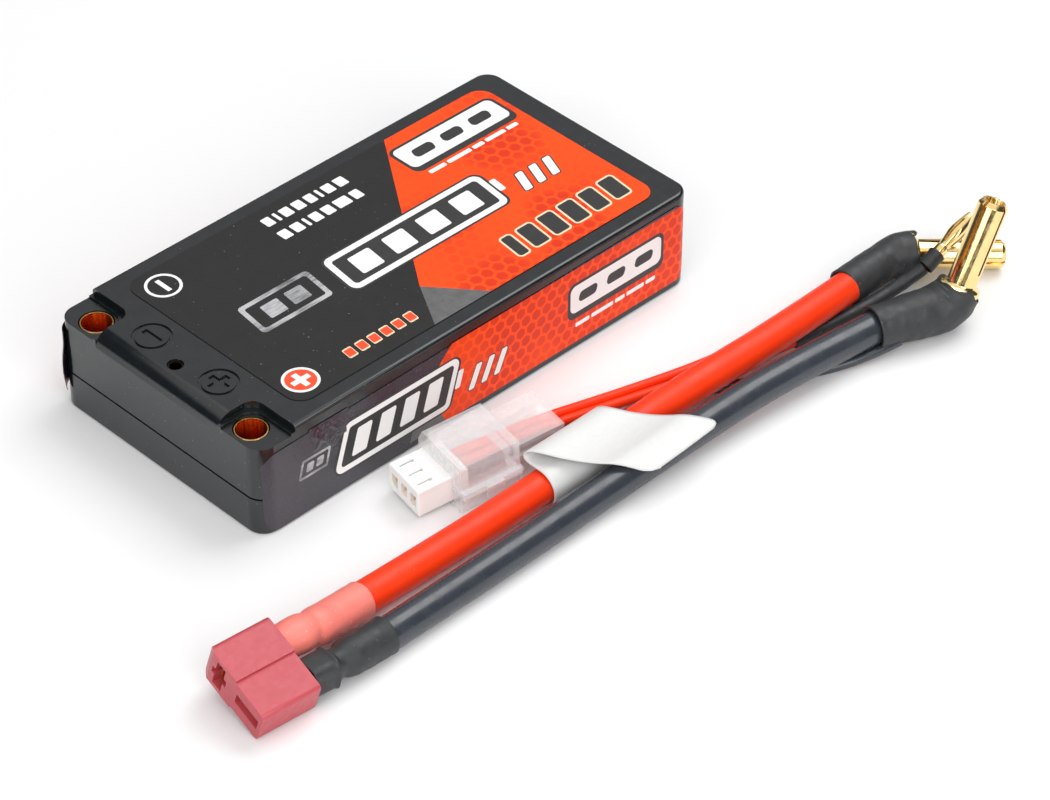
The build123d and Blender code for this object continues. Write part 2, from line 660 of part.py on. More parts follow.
pad_x = (CELL_END_X + 3, CELL_END_X + CELL_LENGTH - 3)
save(block(pad_x, (-19, 19), (lower_cell_bottom + CELL_THICKNESS + 0.02, upper_cell_bottom - 0.02)),
     "cell_tape")
upper_cell_top = upper_cell_bottom + CELL_THICKNESS
save(block(pad_x, (-20, 20), (upper_cell_top + 0.02, CASE_HEIGHT - WALL - 0.05)), "cover_foam")
save(block((CELL_END_X + CELL_LENGTH + 0.05, half_length - WALL - 0.05), (-18, 18), (2.5, 15.5)),
     "end_foam")

save(socket_board(board_top), "socket_board")
save(bullet_socket(-1, board_top), "positive_socket")
save(bullet_socket(1, board_top), "negative_socket")
save(balance_socket(board_top), "balance_socket")
save(busbar(-1, tab_heights[1]), "positive_busbar")
save(busbar(1, tab_heights[0]), "negative_busbar")
save(series_busbar(*tab_heights), "series_busbar")
balance_strap_x = (BALANCE_X + BALANCE_OUTER / 2 + CONTACT_GAP, STRIP_X[0] - CONTACT_GAP)
save(block(balance_strap_x, (-1.0, 1.0), (8.3, 9.3)), "balance_strap")
save(insulation_card(), "insulation_card")

save(top_label(), "top_label")
save(side_label(), "front_label")
save(Rot(Z=180) * side_label(), "back_label")

plug_at = t_plug_place()
save(plug_at * t_plug_housing(), "t_plug_housing")
save(plug_at * Pos(0, -T_PLUG_WIDTH / 4, 0) * t_plug_contact(), "flat_blade_contact")
save(plug_at * Pos(0, T_PLUG_WIDTH / 4, 0) * Rot(X=90) * t_plug_contact(), "upright_blade_contact")
thick_rear = tuple((plug_at * Pos(T_PLUG_LENGTH, T_PLUG_WIDTH / 4, 0)).position)
thin_rear = tuple((plug_at * Pos(T_PLUG_LENGTH, -T_PLUG_WIDTH / 4, 0)).position)
save(plug_sleeve(thick_rear, (-47.6, -46.6, 3.0), 2.45), "red_plug_sleeve")
save(plug_sleeve(thin_rear, (-50.2, -54.9, 3.1), 2.6), "black_plug_sleeve")

save(wire(RED_ROUTE, MAIN_WIRE, "red_main_wire"), "red_main_wire")
save(wire(BLACK_ROUTE, MAIN_WIRE, "black_main_wire"), "black_main_wire")

save(bullet_sleeve(RED_MOUTH, RED_KNEE, RED_COLLAR, SLEEVE_DIAMETER), "red_bullet_sleeve")
save(bullet_sleeve(BLACK_MOUTH, BLACK_KNEE, BLACK_COLLAR, BLACK_SLEEVE_DIAMETER),
     "black_bullet_sleeve")
save(along(RED_COLLAR, RED_TIP) * bullet(), "positive_bullet")
save(along(BLACK_COLLAR, BLACK_TIP) * bullet(), "negative_bullet")
pin_at = along(PIN_BASE, PIN_TIP)
save(pin_at * balance_pin(), "balance_pin")
pin_sleeve = upright(0, 0, PIN_SLEEVE_DIAMETER, -PIN_SLEEVE_LENGTH, 0)
save(pin_at * pin_sleeve, "balance_pin_sleeve")
pin_back = tuple((pin_at * Pos(0, 0, -PIN_SLEEVE_LENGTH)).position)

clip_at = clip_place()


def inside_clip(pin_y, middle_y, exit_y):
    """The first points of a thin wire: from its crimp through the clip to the way out."""
    local = [(CRIMP_END + CRIMP_GAP, pin_y, 2.3), (17.6, middle_y, 2.7), (CLIP_REAR, exit_y, 2.1)]
    return [tuple((clip_at * Pos(*point)).position) for point in local]


RED_THIN_ROUTE = inside_clip(PIN_PITCH, 1.4, 1.1) + [
    (10.9, -37.5, 2.4), (21.6, -39.1, 0.98), (31.0, -41.6, 0.95), (41.5, -43.2, 0.95),
    (52.0, -43.5, 1.3), (62.3, -43.2, 2.2),
]
MIDDLE_THIN_ROUTE = inside_clip(0, -0.6, -0.9) + [
    (10.6, -39.4, 2.3), (21.0, -41.1, 0.95), (30.0, -43.7, 0.9), (39.0, -46.6, 0.9),
    (48.0, -48.3, 1.0), (58.0, -50.1, 1.4), (65.0, -51.2, 2.3), (69.3, -51.9, 3.4), pin_back,
]
BLACK_THIN_ROUTE = inside_clip(-PIN_PITCH, -2.9, -2.9) + [
    (7.8, -41.4, 2.5), (15.2, -42.5, 0.95), (23.0, -44.4, 0.9), (31.0, -48.5, 0.9),
    (38.3, -53.0, 0.9), (45.0, -56.6, 0.95), (51.5, -59.3, 1.5), (57.5, -60.7, 2.2),
]
save(wire(RED_THIN_ROUTE, THIN_WIRE, "balance_wire_red"), "balance_wire_red")
save(wire(MIDDLE_THIN_ROUTE, THIN_WIRE, "balance_wire_middle"), "balance_wire_middle")
save(wire(BLACK_THIN_ROUTE, THIN_WIRE, "balance_wire_black"), "balance_wire_black")

save(clip_at * balance_plug_housing(), "balance_plug_housing")
save(clip_at * balance_plug_terminals(), "balance_plug_terminals")
save(clip_at * plug_clip_base(), "plug_clip_base")
save(clip_at * plug_clip_lid(), "plug_clip_lid")
save(wire_tag(), "wire_tag")

hinge_point = (clip_at * Pos((CLIP_FRONT + CLIP_STEP) / 2, HINGE_Y, CLIP_PARTING + LID_GAP / 2))
hinge_direction = clip_at.x_axis.direction
print("clip hinge at", tuple(round(v, 4) for v in hinge_point.position),
      "along", tuple(round(v, 5) for v in hinge_direction))
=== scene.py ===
"""Looks of a two-cell hard-cased battery pack and its loose lead.

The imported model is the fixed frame. This script adds the camera and light, the wires, the shrunk
sleeves, the paper tag and the labels' print, and gives every piece its material. Lengths written
below are in millimetres, and mm() turns them into the frame's metres.
"""
import json
import math

import bmesh
import bpy
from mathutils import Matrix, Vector, noise
from mathutils.geometry import tessellate_polygon


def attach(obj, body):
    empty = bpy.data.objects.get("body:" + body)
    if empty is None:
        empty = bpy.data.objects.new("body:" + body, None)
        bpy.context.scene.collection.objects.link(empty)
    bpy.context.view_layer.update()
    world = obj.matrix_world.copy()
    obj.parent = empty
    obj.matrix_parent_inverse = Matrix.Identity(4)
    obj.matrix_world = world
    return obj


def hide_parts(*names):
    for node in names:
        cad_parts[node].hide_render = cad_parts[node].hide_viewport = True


MM = 0.001
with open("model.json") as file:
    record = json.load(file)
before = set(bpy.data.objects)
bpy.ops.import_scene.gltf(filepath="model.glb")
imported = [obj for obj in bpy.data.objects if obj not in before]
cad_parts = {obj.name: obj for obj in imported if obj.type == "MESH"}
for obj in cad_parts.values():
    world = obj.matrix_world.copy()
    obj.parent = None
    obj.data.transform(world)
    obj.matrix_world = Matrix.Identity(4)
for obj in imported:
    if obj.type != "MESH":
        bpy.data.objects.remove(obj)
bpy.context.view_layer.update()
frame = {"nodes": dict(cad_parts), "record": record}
nodes = frame["nodes"]
collection = bpy.context.scene.collection


def mm(point):
    """A point in millimetres as a vector in metres."""
    return Vector(point) * MM


def link(name, data):
    """A new object in the scene."""
    made = bpy.data.objects.new(name, data)
    collection.objects.link(made)
    return made


# ---------------------------- camera
CAMERA_PLACE = (-349.9986, -385.6087, 413.1923)
CAMERA_ANGLES = (50.6875, -0.3220, -44.5276)
CAMERA_LENS = 140.5
CAMERA_SENSOR = 36.0
CAMERA_SEES = (0.01, 20.0)  # nearest and furthest, in metres

camera = link("camera", bpy.data.cameras.new("camera"))
camera.location = mm(CAMERA_PLACE)
camera.rotation_euler = [math.radians(angle) for angle in CAMERA_ANGLES]
camera.data.lens = CAMERA_LENS
camera.data.sensor_width = CAMERA_SENSOR
camera.data.clip_start = CAMERA_SEES[0]
camera.data.clip_end = CAMERA_SEES[1]
bpy.context.scene.camera = camera

# ---------------------------- light
# The sky's tone goes by the height of a direction, which is 1 straight up.
SKY_DARK_BELOW = 0.6
SKY_WHITE_ABOVE = 0.88
SKY_DARK = (0.07, 0.075, 0.085, 1)
SKY_WHITE = (1.0, 0.995, 0.985, 1)
SKY_STRENGTH = 0.93
# Each lamp's place, the point it is aimed at, its size and its power in watts.
LAMPS = {
    "key_light": ((430, -40, 640), (0, 0, 0), 520, 2.9),
    "back_panel": ((520, 580, 560), (0, 0, 0), 700, 0.7),
    "near_light": ((-180, -640, 380), (0, -20, 0), 560, 3.1),
    "left_light": ((-640, -200, 380), (0, -20, 0), 560, 2.4),
}


def sky():
    """Room that is dark near the horizon and a wide white ceiling of light above."""
    world = bpy.data.worlds.new("studio")
    bpy.context.scene.world = world
    world.use_nodes = True
    tree = world.node_tree
    place = tree.nodes.new("ShaderNodeTexCoord")
    split = tree.nodes.new("ShaderNodeSeparateXYZ")
    ramp = tree.nodes.new("ShaderNodeValToRGB")
    ramp.color_ramp.interpolation = "EASE"
    stops = ramp.color_ramp.elements
    stops[0].position = SKY_DARK_BELOW
    stops[0].color = SKY_DARK
    stops[1].position = SKY_WHITE_ABOVE
    stops[1].color = SKY_WHITE
    tree.links.new(place.outputs["Generated"], split.inputs[0])
    tree.links.new(split.outputs["Z"], ramp.inputs[0])
    background = tree.nodes["Background"]
    tree.links.new(ramp.outputs[0], background.inputs["Color"])
    background.inputs["Strength"].default_value = SKY_STRENGTH


def softbox(name, place, aim, size, power):
    """Square area lamp at a place, aimed at a point."""
    lamp = bpy.data.lights.new(name, "AREA")
    lamp.size = size * MM
    lamp.energy = power
    made = link(name, lamp)
    made.location = mm(place)
    made.rotation_euler = (mm(aim) - mm(place)).to_track_quat("-Z", "Y").to_euler()


bpy.context.scene.view_settings.view_transform = "Standard"
sky()
for lamp_name, lamp_values in LAMPS.items():
    softbox(lamp_name, *lamp_values)


# ---------------------------- materials
# Most of a noise's values lie between these two.
NOISE_LOW = 0.3
NOISE_HIGH = 0.7
# Depths below a socket's top, where its lip and the painted shade of its inside start and are complete.
LIP_DEPTHS = (0.35, 0.1)
BORE_SHADE_DEPTHS = (0.5, 5.5)
GOLD_SOCKET_TOP = 16.84
BALANCE_SOCKET_TOP = 18.15
# The puckered spot in the front label's film.
WRINKLE_PLACE = (-30.5, -23.9, 12.4)
WRINKLE_REACH = 5.5
WRINKLE_DEPTH = 0.9


class Paint:
    """One material: a Principled shader, with short calls that add nodes to it."""

    def __init__(self, name, color, roughness, **sockets):
        self.material = bpy.data.materials.new(name)
        self.material.use_nodes = True
        self.tree = self.material.node_tree
        self.shader = self.tree.nodes["Principled BSDF"]
        self.set("Base Color", color)
        self.set("Roughness", roughness)
        for socket, value in sockets.items():
            self.set(socket.replace("_", " "), value)
        self.place = self.add("TexCoord").outputs["Object"]
        self.normal = None

    def feed(self, socket, value):
        """Gives an input a value or another node's output."""
        if isinstance(value, bpy.types.NodeSocket):
            self.tree.links.new(value, socket)
        elif isinstance(value, tuple) and len(value) == 3 and socket.type == "RGBA":
            socket.default_value = (*value, 1)
        else:
            socket.default_value = value

    def set(self, socket, value):
        """Feeds one of the shader's inputs."""
        self.feed(self.shader.inputs[socket], value)

    def add(self, kind, *inputs, **settings):
        """A new node with its first inputs fed in order."""
        node = self.tree.nodes.new("ShaderNode" + kind)
        for key, value in settings.items():
            setattr(node, key, value)
        for socket, value in zip(node.inputs, inputs):
            if value is not None:
                self.feed(socket, value)
        return node

    def math(self, operation, *values):
        """Arithmetic on numbers."""
        return self.add("Math", *values, operation=operation).outputs[0]

    def vector(self, operation, *values):
        """Arithmetic on vectors, which gives a number for a length or a distance."""
        node = self.add("VectorMath", *values, operation=operation)
        return node.outputs["Value" if operation in ("LENGTH", "DISTANCE") else "Vector"]

    def noise(self, size, detail=3.0, stretch=(1, 1, 1)):
        """Noise whose features are about size millimetres across."""
        scaled = self.vector("MULTIPLY", self.place, stretch)
        return self.add("TexNoise", scaled, None, 1 / (size * MM), detail).outputs[0]

    def ramp(self, value, low, high, start=0.0, end=1.0):
        """Start below low, end above high, and smooth between them."""
        node = self.add("MapRange", value, low, high, start, end, interpolation_type="SMOOTHSTEP")
        return node.outputs[0]

    def mix(self, share, first, second):
        """First colour at share 0 and second colour at share 1."""
        node = self.add("Mix", data_type="RGBA")
        self.feed(node.inputs["Factor"], share)
        self.feed(node.inputs[6], first)
        self.feed(node.inputs[7], second)
        return node.outputs[2]

    def tone(self, share, first, second):
        """Base colour that runs from one colour to another."""
        self.set("Base Color", self.mix(share, first, second))

    def gloss(self, low, high, size, detail=3.0):
        """Roughness that wanders between two values over spots of that size in millimetres."""
        self.set("Roughness", self.ramp(self.noise(size, detail), NOISE_LOW, NOISE_HIGH, low, high))

    def bump(self, height, depth):
        """Adds relief of that depth in millimetres on top of any before it."""
        node = self.add("Bump")
        node.inputs["Distance"].default_value = depth * MM
        self.feed(node.inputs["Height"], height)
        if self.normal is not None:
            self.feed(node.inputs["Normal"], self.normal)
        self.normal = node.outputs["Normal"]
        self.set("Normal", self.normal)

    def near(self, point, reach):
        """1 at a point and 0 beyond its reach, both in millimetres."""
        distance = self.vector("DISTANCE", self.place, tuple(mm(point)))
        return self.ramp(distance, 0.0, reach * MM, 1.0, 0.0)

    def honeycomb(self, pitch, upright):
        """0 in the middle of a six-sided cell and 1 at its edge, on the XY or the XZ plane."""
        pitch *= MM
        tall = pitch * math.sqrt(3)
        cell = (pitch, 1.0, tall) if upright else (pitch, tall, 1.0)
        distances = []
        for shift in (0.0, 0.5):
            moved = self.vector("ADD", self.place, tuple(side * shift for side in cell))
            low = tuple(-side / 2 for side in cell)
            high = tuple(side / 2 for side in cell)
            wrapped = self.vector("ABSOLUTE", self.vector("WRAP", moved, high, low))
            split = self.add("SeparateXYZ", wrapped).outputs
            across = split[0]
            along = split[2 if upright else 1]
            slant = self.math("ADD", self.math("MULTIPLY", across, 0.5),
                              self.math("MULTIPLY", along, math.sqrt(3) / 2))
            distances.append(self.math("MAXIMUM", across, slant))
        return self.math("DIVIDE", self.math("MINIMUM", *distances), pitch / 2)


def case_plastic():
    """Satin moulded black with a fine grain, a few dust specks and faint cloudiness."""
    paint = Paint("case_plastic", (0.008, 0.01, 0.011), 0.22, Specular_IOR_Level=0.72)
    cloud = paint.noise(9.0, 2.0)
    specks = paint.ramp(paint.noise(0.45, 1.0), 0.74, 0.8)
    dark = paint.mix(cloud, (0.003, 0.005, 0.006), (0.007, 0.01, 0.011))
    paint.tone(specks, dark, (0.13, 0.14, 0.14))
    paint.gloss(0.18, 0.26, 2.2)
    paint.bump(paint.noise(0.28, 2.0), 0.006)
    paint.bump(paint.noise(5.0, 1.0), 0.02)
    return paint.material


def top_film():
    """Charcoal printed film with a matt laminate."""
    paint = Paint("top_film", (0.03, 0.032, 0.031), 0.3, Specular_IOR_Level=0.4)
    cloud = paint.noise(14.0, 3.0)
    specks = paint.ramp(paint.noise(0.5, 1.0), 0.76, 0.8)
    dark = paint.mix(cloud, (0.008, 0.0088, 0.0078), (0.0135, 0.014, 0.012))
    paint.tone(specks, dark, (0.16, 0.17, 0.17))
    paint.gloss(0.26, 0.34, 3.0)
    paint.bump(paint.noise(0.35, 2.0), 0.003)
    return paint.material


def side_film():
    """Glossy dark film, slightly purple, with a puckered blister near its upper edge."""
    paint = Paint("side_film", (0.02, 0.015, 0.024), 0.24, Coat_Weight=0.3, Coat_Roughness=0.2)
    cloud = paint.noise(11.0, 3.0)
    paint.tone(cloud, (0.013, 0.011, 0.017), (0.034, 0.026, 0.04))
    paint.gloss(0.2, 0.32, 4.0)
    paint.bump(paint.noise(6.0, 1.0, (1, 1, 0.6)), 0.05)
    pucker = paint.noise(1.6, 3.0, (0.7, 1, 1.2))
    paint.bump(paint.math("MULTIPLY", pucker, paint.near(WRINKLE_PLACE, WRINKLE_REACH)), WRINKLE_DEPTH)
    return paint.material


def orange_ink(name, pitch, upright, edge, faint):
    """Vermilion with a pattern of darker six-sided spots that fades in and out."""
    paint = Paint(name, (0.95, 0.07, 0.01), 0.34, Specular_IOR_Level=0.22)
    spot = paint.ramp(paint.honeycomb(pitch, upright), edge, edge + 0.2, 1.0, 0.0)
    fade = paint.ramp(paint.noise(16.0, 1.0), 0.4, 0.58, faint, 1.0)
    share = paint.math("MULTIPLY", spot, fade)
    tone = paint.mix(paint.noise(12.0, 2.0), (0.94, 0.066, 0.003), (1.0, 0.086, 0.004))
    paint.tone(share, tone, (0.7, 0.034, 0.004))
    paint.gloss(0.3, 0.4, 3.0)
    paint.bump(paint.noise(0.4, 2.0), 0.003)
    return paint.material


def ink(name, first, second, roughness=0.4, **sockets):
    """Opaque print with a slight mottle."""
    paint = Paint(name, first, roughness, **sockets)
    paint.tone(paint.noise(1.2, 3.0), first, second)
    paint.gloss(roughness - 0.05, roughness + 0.06, 2.0)
    paint.bump(paint.noise(0.4, 2.0), 0.003)
    return paint.material


def silver_ink():
    """Brushed silver print that runs from bright to dark."""
    paint = Paint("silver_ink", (0.5, 0.5, 0.5), 0.34, Metallic=0.75)
    brushed = paint.noise(0.5, 4.0, (0.25, 1.6, 1))
    broad = paint.noise(7.0, 1.0)
    share = paint.math("ADD", paint.math("MULTIPLY", brushed, 0.45),
                       paint.math("MULTIPLY", broad, 0.6))
    paint.tone(paint.ramp(share, NOISE_LOW, NOISE_HIGH), (0.16, 0.16, 0.165), (0.72, 0.73, 0.74))
    paint.bump(brushed, 0.004)
    return paint.material


def plated(name, bright, deep, roughness):
    """Polished plating with slow tone changes and fine polishing marks."""
    paint = Paint(name, bright, roughness, Metallic=1.0)
    paint.tone(paint.noise(3.0, 3.0), bright, deep)
    paint.gloss(roughness * 0.75, roughness * 1.4, 1.2, 4.0)
    paint.bump(paint.noise(0.9, 3.0), 0.012)
    return paint.material


def socket_metal(name, top, rim, wall, deep, roughness):
    """Plated socket with its rim colour on a narrow lip at its top. Down the bore, which sees only itself,
    painted reflection and shade take the wall colour to a deep brown, with darker painted reflection
    streaks.
    """
    paint = Paint(name, rim, roughness, Metallic=1.0)
    height = paint.add("SeparateXYZ", paint.place).outputs[2]
    # Painted shade in the bore: 1 deep down and 0 near its top.
    bore_shade = paint.ramp(height, (top - BORE_SHADE_DEPTHS[1]) * MM, (top - BORE_SHADE_DEPTHS[0]) * MM, 1.0, 0.0)
    lip = paint.ramp(height, (top - LIP_DEPTHS[0]) * MM, (top - LIP_DEPTHS[1]) * MM)
    # Painted reflection streaks, stretched up and down the bore.
    reflection_streaks = paint.ramp(paint.noise(0.8, 2.0, (1, 1, 0.06)), 0.42, 0.62, 0.0, 0.75)
    tone = paint.mix(reflection_streaks, paint.mix(bore_shade, wall, deep), deep)
    paint.tone(lip, tone, rim)
    paint.bump(paint.noise(0.8, 3.0), 0.01)
    return paint.material


def nylon(name, first, second, roughness, **sockets):
    """Moulded nylon: a soft grain and slow tone changes."""
    paint = Paint(name, first, roughness, **sockets)
    paint.tone(paint.noise(4.0, 3.0), first, second)
    paint.gloss(roughness - 0.06, roughness + 0.08, 0.8, 3.0)
    paint.bump(paint.noise(0.22, 2.0), 0.006)
    paint.bump(paint.noise(2.6, 2.0), 0.02)
    return paint.material


def silicone(name, first, second, roughness, speck, **sockets):
    """Wire insulation: satin, with slow tone changes, drawing marks and a few specks."""
    paint = Paint(name, first, roughness, **sockets)
    specks = paint.ramp(paint.noise(0.4, 1.0), 0.73, 0.8)
    tone = paint.mix(paint.noise(7.0, 2.0), first, second)
    paint.tone(specks, tone, speck)
    paint.gloss(roughness - 0.05, roughness + 0.07, 2.5, 3.0)
    paint.bump(paint.noise(0.5, 3.0, (0.25, 1, 1)), 0.006)
    paint.bump(paint.noise(5.0, 1.0), 0.04)
    return paint.material


def shrink_tube(name, first, second, roughness, speck, **sockets):
    """Heat-shrink tubing: matt, dimpled, with tiny pits and specks."""
    paint = Paint(name, first, roughness, **sockets)
    specks = paint.ramp(paint.noise(0.5, 1.0), 0.72, 0.78)
    tone = paint.mix(paint.noise(3.0, 3.0), first, second)
    paint.tone(specks, tone, speck)
    paint.gloss(roughness - 0.08, roughness + 0.08, 1.4, 3.0)
    paint.bump(paint.noise(0.3, 3.0), 0.012)
    paint.bump(paint.noise(2.0, 2.0), 0.06)
    return paint.material


def frosted():
    """Milky see-through plastic: each wall hides only part of what is behind it."""
    paint = Paint("frosted", (0.9, 0.88, 0.885), 0.3, Alpha=0.3,
                  Subsurface_Weight=0.25, Subsurface_Scale=0.001)
    paint.tone(paint.noise(2.5, 3.0), (0.86, 0.845, 0.85), (0.95, 0.94, 0.945))
    paint.gloss(0.2, 0.34, 1.0, 3.0)
    paint.bump(paint.noise(2.4, 1.0), 0.04)
    return paint.material


def paper():
    """Coated white strip with a faint fibre."""
    paint = Paint("paper", (0.8, 0.8, 0.78), 0.42)
    fibre = paint.noise(0.5, 4.0, (0.5, 1, 1))
    paint.tone(fibre, (0.63, 0.63, 0.62), (0.7, 0.7, 0.69))
    paint.bump(fibre, 0.004)
    paint.bump(paint.noise(4.0, 1.0), 0.03)
    return paint.material


def foil():
    """Crinkled aluminium laminate."""
    paint = Paint("foil", (0.7, 0.71, 0.73), 0.3, Metallic=0.9)
    paint.tone(paint.noise(5.0, 3.0), (0.62, 0.63, 0.65), (0.8, 0.81, 0.82))
    paint.bump(paint.noise(3.0, 5.0), 0.12)
    return paint.material


def foam():
    """Pale open foam with pores."""
    paint = Paint("foam", (0.8, 0.78, 0.72), 0.9)
    pores = paint.add("TexVoronoi", paint.place, None, 1 / (0.7 * MM)).outputs[0]
    paint.tone(pores, (0.55, 0.53, 0.48), (0.85, 0.83, 0.78))
    paint.bump(pores, 0.15)
    return paint.material


def board():
    """Green lacquered glass-fibre sheet with its weave showing through."""
    paint = Paint("board", (0.03, 0.14, 0.05), 0.35, Coat_Weight=0.3)
    weave = paint.add("TexWave", paint.place, 1 / (0.6 * MM), 2.0, 1.0).outputs[1]
    paint.tone(weave, (0.025, 0.12, 0.045), (0.05, 0.2, 0.075))
    paint.bump(weave, 0.01)
    return paint.material


def studio_floor():
    """Seamless white paper."""
    paint = Paint("floor_paper", (0.9, 0.9, 0.9), 0.9)
    paint.tone(paint.noise(300.0, 2.0), (0.85, 0.855, 0.86), (0.87, 0.87, 0.87))
    paint.bump(paint.noise(3.0, 3.0), 0.01)
    return paint.material


CASE = case_plastic()
FILM = {"top": top_film(), "side": side_film()}
WHITE_INK = ink("white_ink", (0.86, 0.86, 0.85), (0.9, 0.9, 0.88))
BLACK_INK = ink("black_ink", (0.014, 0.013, 0.014), (0.03, 0.027, 0.028))
SIGN_INK = ink("sign_ink", (0.95, 0.075, 0.012), (0.9, 0.06, 0.01))
CREAM_INK = ink("cream_ink", (0.86, 0.66, 0.42), (0.9, 0.72, 0.5))
GREY_INK = ink("grey_ink", (0.1, 0.1, 0.1), (0.2, 0.2, 0.2), 0.35, Metallic=0.4)
SILVER_INK = silver_ink()
TOP_ORANGE = orange_ink("top_orange_ink", 2.45, False, 0.66, 0.12)
SIDE_ORANGE = orange_ink("side_orange_ink", 2.3, True, 0.66, 0.5)
# The gold sockets' bores carry painted shade and painted reflection.
SOCKET_GOLD = socket_metal("socket_gold", GOLD_SOCKET_TOP, (0.55, 0.34, 0.11), (1.0, 0.5, 0.14),
                           (0.5, 0.12, 0.03), 0.24)
# The balance socket's metal is painted near black all through: painted shade of its hole.
BALANCE_SOCKET_SHADE = socket_metal("balance_socket_painted_shade", BALANCE_SOCKET_TOP, (0.03, 0.022, 0.015), (0.04, 0.025, 0.012),
                           (0.02, 0.012, 0.008), 0.4)
SLOTS = {
    "case_black": CASE,
    "label_film": FILM["top"],
    "gold": plated("gold_plating", (1.0, 0.8, 0.4), (0.98, 0.68, 0.27), 0.15),
    "nickel": plated("nickel_plating", (0.66, 0.63, 0.58), (0.56, 0.54, 0.5), 0.28),
    "pouch_foil": foil(),
    "foam": foam(),
    "board": board(),
    "plug_red": nylon("red_nylon", (0.46, 0.054, 0.07), (0.52, 0.07, 0.09), 0.38,
                      Subsurface_Weight=0.08, Subsurface_Scale=0.001),
    "plug_white": nylon("white_nylon", (0.84, 0.84, 0.82), (0.9, 0.9, 0.88), 0.45,
                        Subsurface_Weight=0.2, Subsurface_Scale=0.001),
    "sleeve_pink": shrink_tube("pink_tube", (0.9, 0.2, 0.16), (0.96, 0.25, 0.205), 0.52,
                               (1.0, 0.42, 0.36), Subsurface_Weight=0.1, Subsurface_Scale=0.001),
    "sleeve_black": shrink_tube("black_tube", (0.018, 0.0195, 0.021), (0.032, 0.034, 0.036), 0.5,
                                (0.09, 0.095, 0.1)),
    "wire_red": silicone("red_silicone", (0.92, 0.034, 0.003), (0.97, 0.048, 0.004), 0.4,
                         (1.0, 0.12, 0.04), Specular_IOR_Level=0.3),
    "wire_black": silicone("black_silicone", (0.025, 0.03, 0.039), (0.037, 0.044, 0.055), 0.25,
                           (0.07, 0.075, 0.08), Specular_IOR_Level=0.65),
    "clip_frosted": frosted(),
    "tag_white": paper(),
}


# ---------------------------- CAD pieces
# How wide each piece's rounded edges are.
BEVELS = {
    "upper_shell": 0.22, "lower_shell": 0.22, "t_plug_housing": 0.3, "balance_plug_housing": 0.16,
    "plug_clip_base": 0.3, "plug_clip_lid": 0.3, "positive_bullet": 0.12, "negative_bullet": 0.12,
    "balance_pin": 0.06, "positive_socket": 0.08, "negative_socket": 0.08,
}
WELD_REACH = 0.002
BEVEL_STEPS = 3
SHARP_EDGE = 32  # degrees


def soften(piece, width):
    """Rounds a CAD piece's sharp edges, as a mould or a tumbler would."""
    weld = piece.modifiers.new("weld", "WELD")
    weld.merge_threshold = WELD_REACH * MM
    bevel = piece.modifiers.new("bevel", "BEVEL")
    bevel.width = width * MM
    bevel.segments = BEVEL_STEPS
    bevel.limit_method = "ANGLE"
    bevel.angle_limit = math.radians(SHARP_EDGE)
    bevel.harden_normals = True


OWN_MATERIALS = {
    "front_label": FILM["side"], "back_label": FILM["side"],
    "positive_socket": SOCKET_GOLD, "negative_socket": SOCKET_GOLD, "balance_socket": BALANCE_SOCKET_SHADE,
}
for row in frame["record"]["subparts"]:
    node = nodes[row["node"]]
    node.data.materials.clear()
    node.data.materials.append(OWN_MATERIALS.get(row["node"], SLOTS[row["material_slot"]]))
    if row["node"] in BEVELS:
        soften(node, BEVELS[row["node"]])


# ---------------------------- lines
CURVE_ORDER = 3
CURVE_STEPS = 16


def nurbs(name, points):
    """Curve of one open NURBS spline with these control points, in millimetres."""
    curve = bpy.data.curves.new(name, "CURVE")
    curve.dimensions = "3D"
    spline = curve.splines.new("NURBS")
    spline.points.add(len(points) - 1)
    for control, point in zip(spline.points, points):
        control.co = (*mm(point), 1)
    spline.order_u = CURVE_ORDER
    spline.use_endpoint_u = True
    spline.resolution_u = CURVE_STEPS
    return curve


def smooth_line(points):
    """Points read from the NURBS spline, in millimetres, with their distances along it."""
    holder = bpy.data.objects.new("line", nurbs("line", points))
    mesh = bpy.data.meshes.new_from_object(holder)
    line = [vertex.co / MM for vertex in mesh.vertices]
    bpy.data.meshes.remove(mesh)
    bpy.data.curves.remove(holder.data)
    travelled = [0.0]
    for before, after in zip(line, line[1:]):
        travelled.append(travelled[-1] + (after - before).length)
    return line, travelled


def at(line, travelled, s):
    """Point and direction at a distance along a line, carried straight on past its ends."""
    index = 1
    while index < len(line) - 1 and travelled[index] < s:
        index += 1
    step = line[index] - line[index - 1]
    share = (s - travelled[index - 1]) / max(step.length, 1e-9)
    return line[index - 1] + step * share, step.normalized()


def finish_mesh(name, points, faces, material, body, smooth=True):
    """A mesh piece from points in millimetres, riding on a body."""
    mesh = bpy.data.meshes.new(name)
    mesh.from_pydata([mm(point) for point in points], [], faces)
    mesh.validate()
    mesh.materials.append(material)
    for polygon in mesh.polygons:
        polygon.use_smooth = smooth
    piece = link(name, mesh)
    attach(piece, body)
    return piece


def grid_faces(rows, columns):
    """Four-sided faces of a sheet whose points go row by row."""
    faces = []
    for row in range(rows):
        for column in range(columns):
            first = row * (columns + 1) + column
            faces.append((first, first + 1, first + columns + 2, first + columns + 1))
    return faces


def thicken(piece, thickness, offset):
    """Gives a sheet a thickness: offset -1 goes below it, 0 to both sides and 1 above it."""
    solid = piece.modifiers.new("thickness", "SOLIDIFY")
    solid.thickness = thickness * MM
    solid.offset = offset


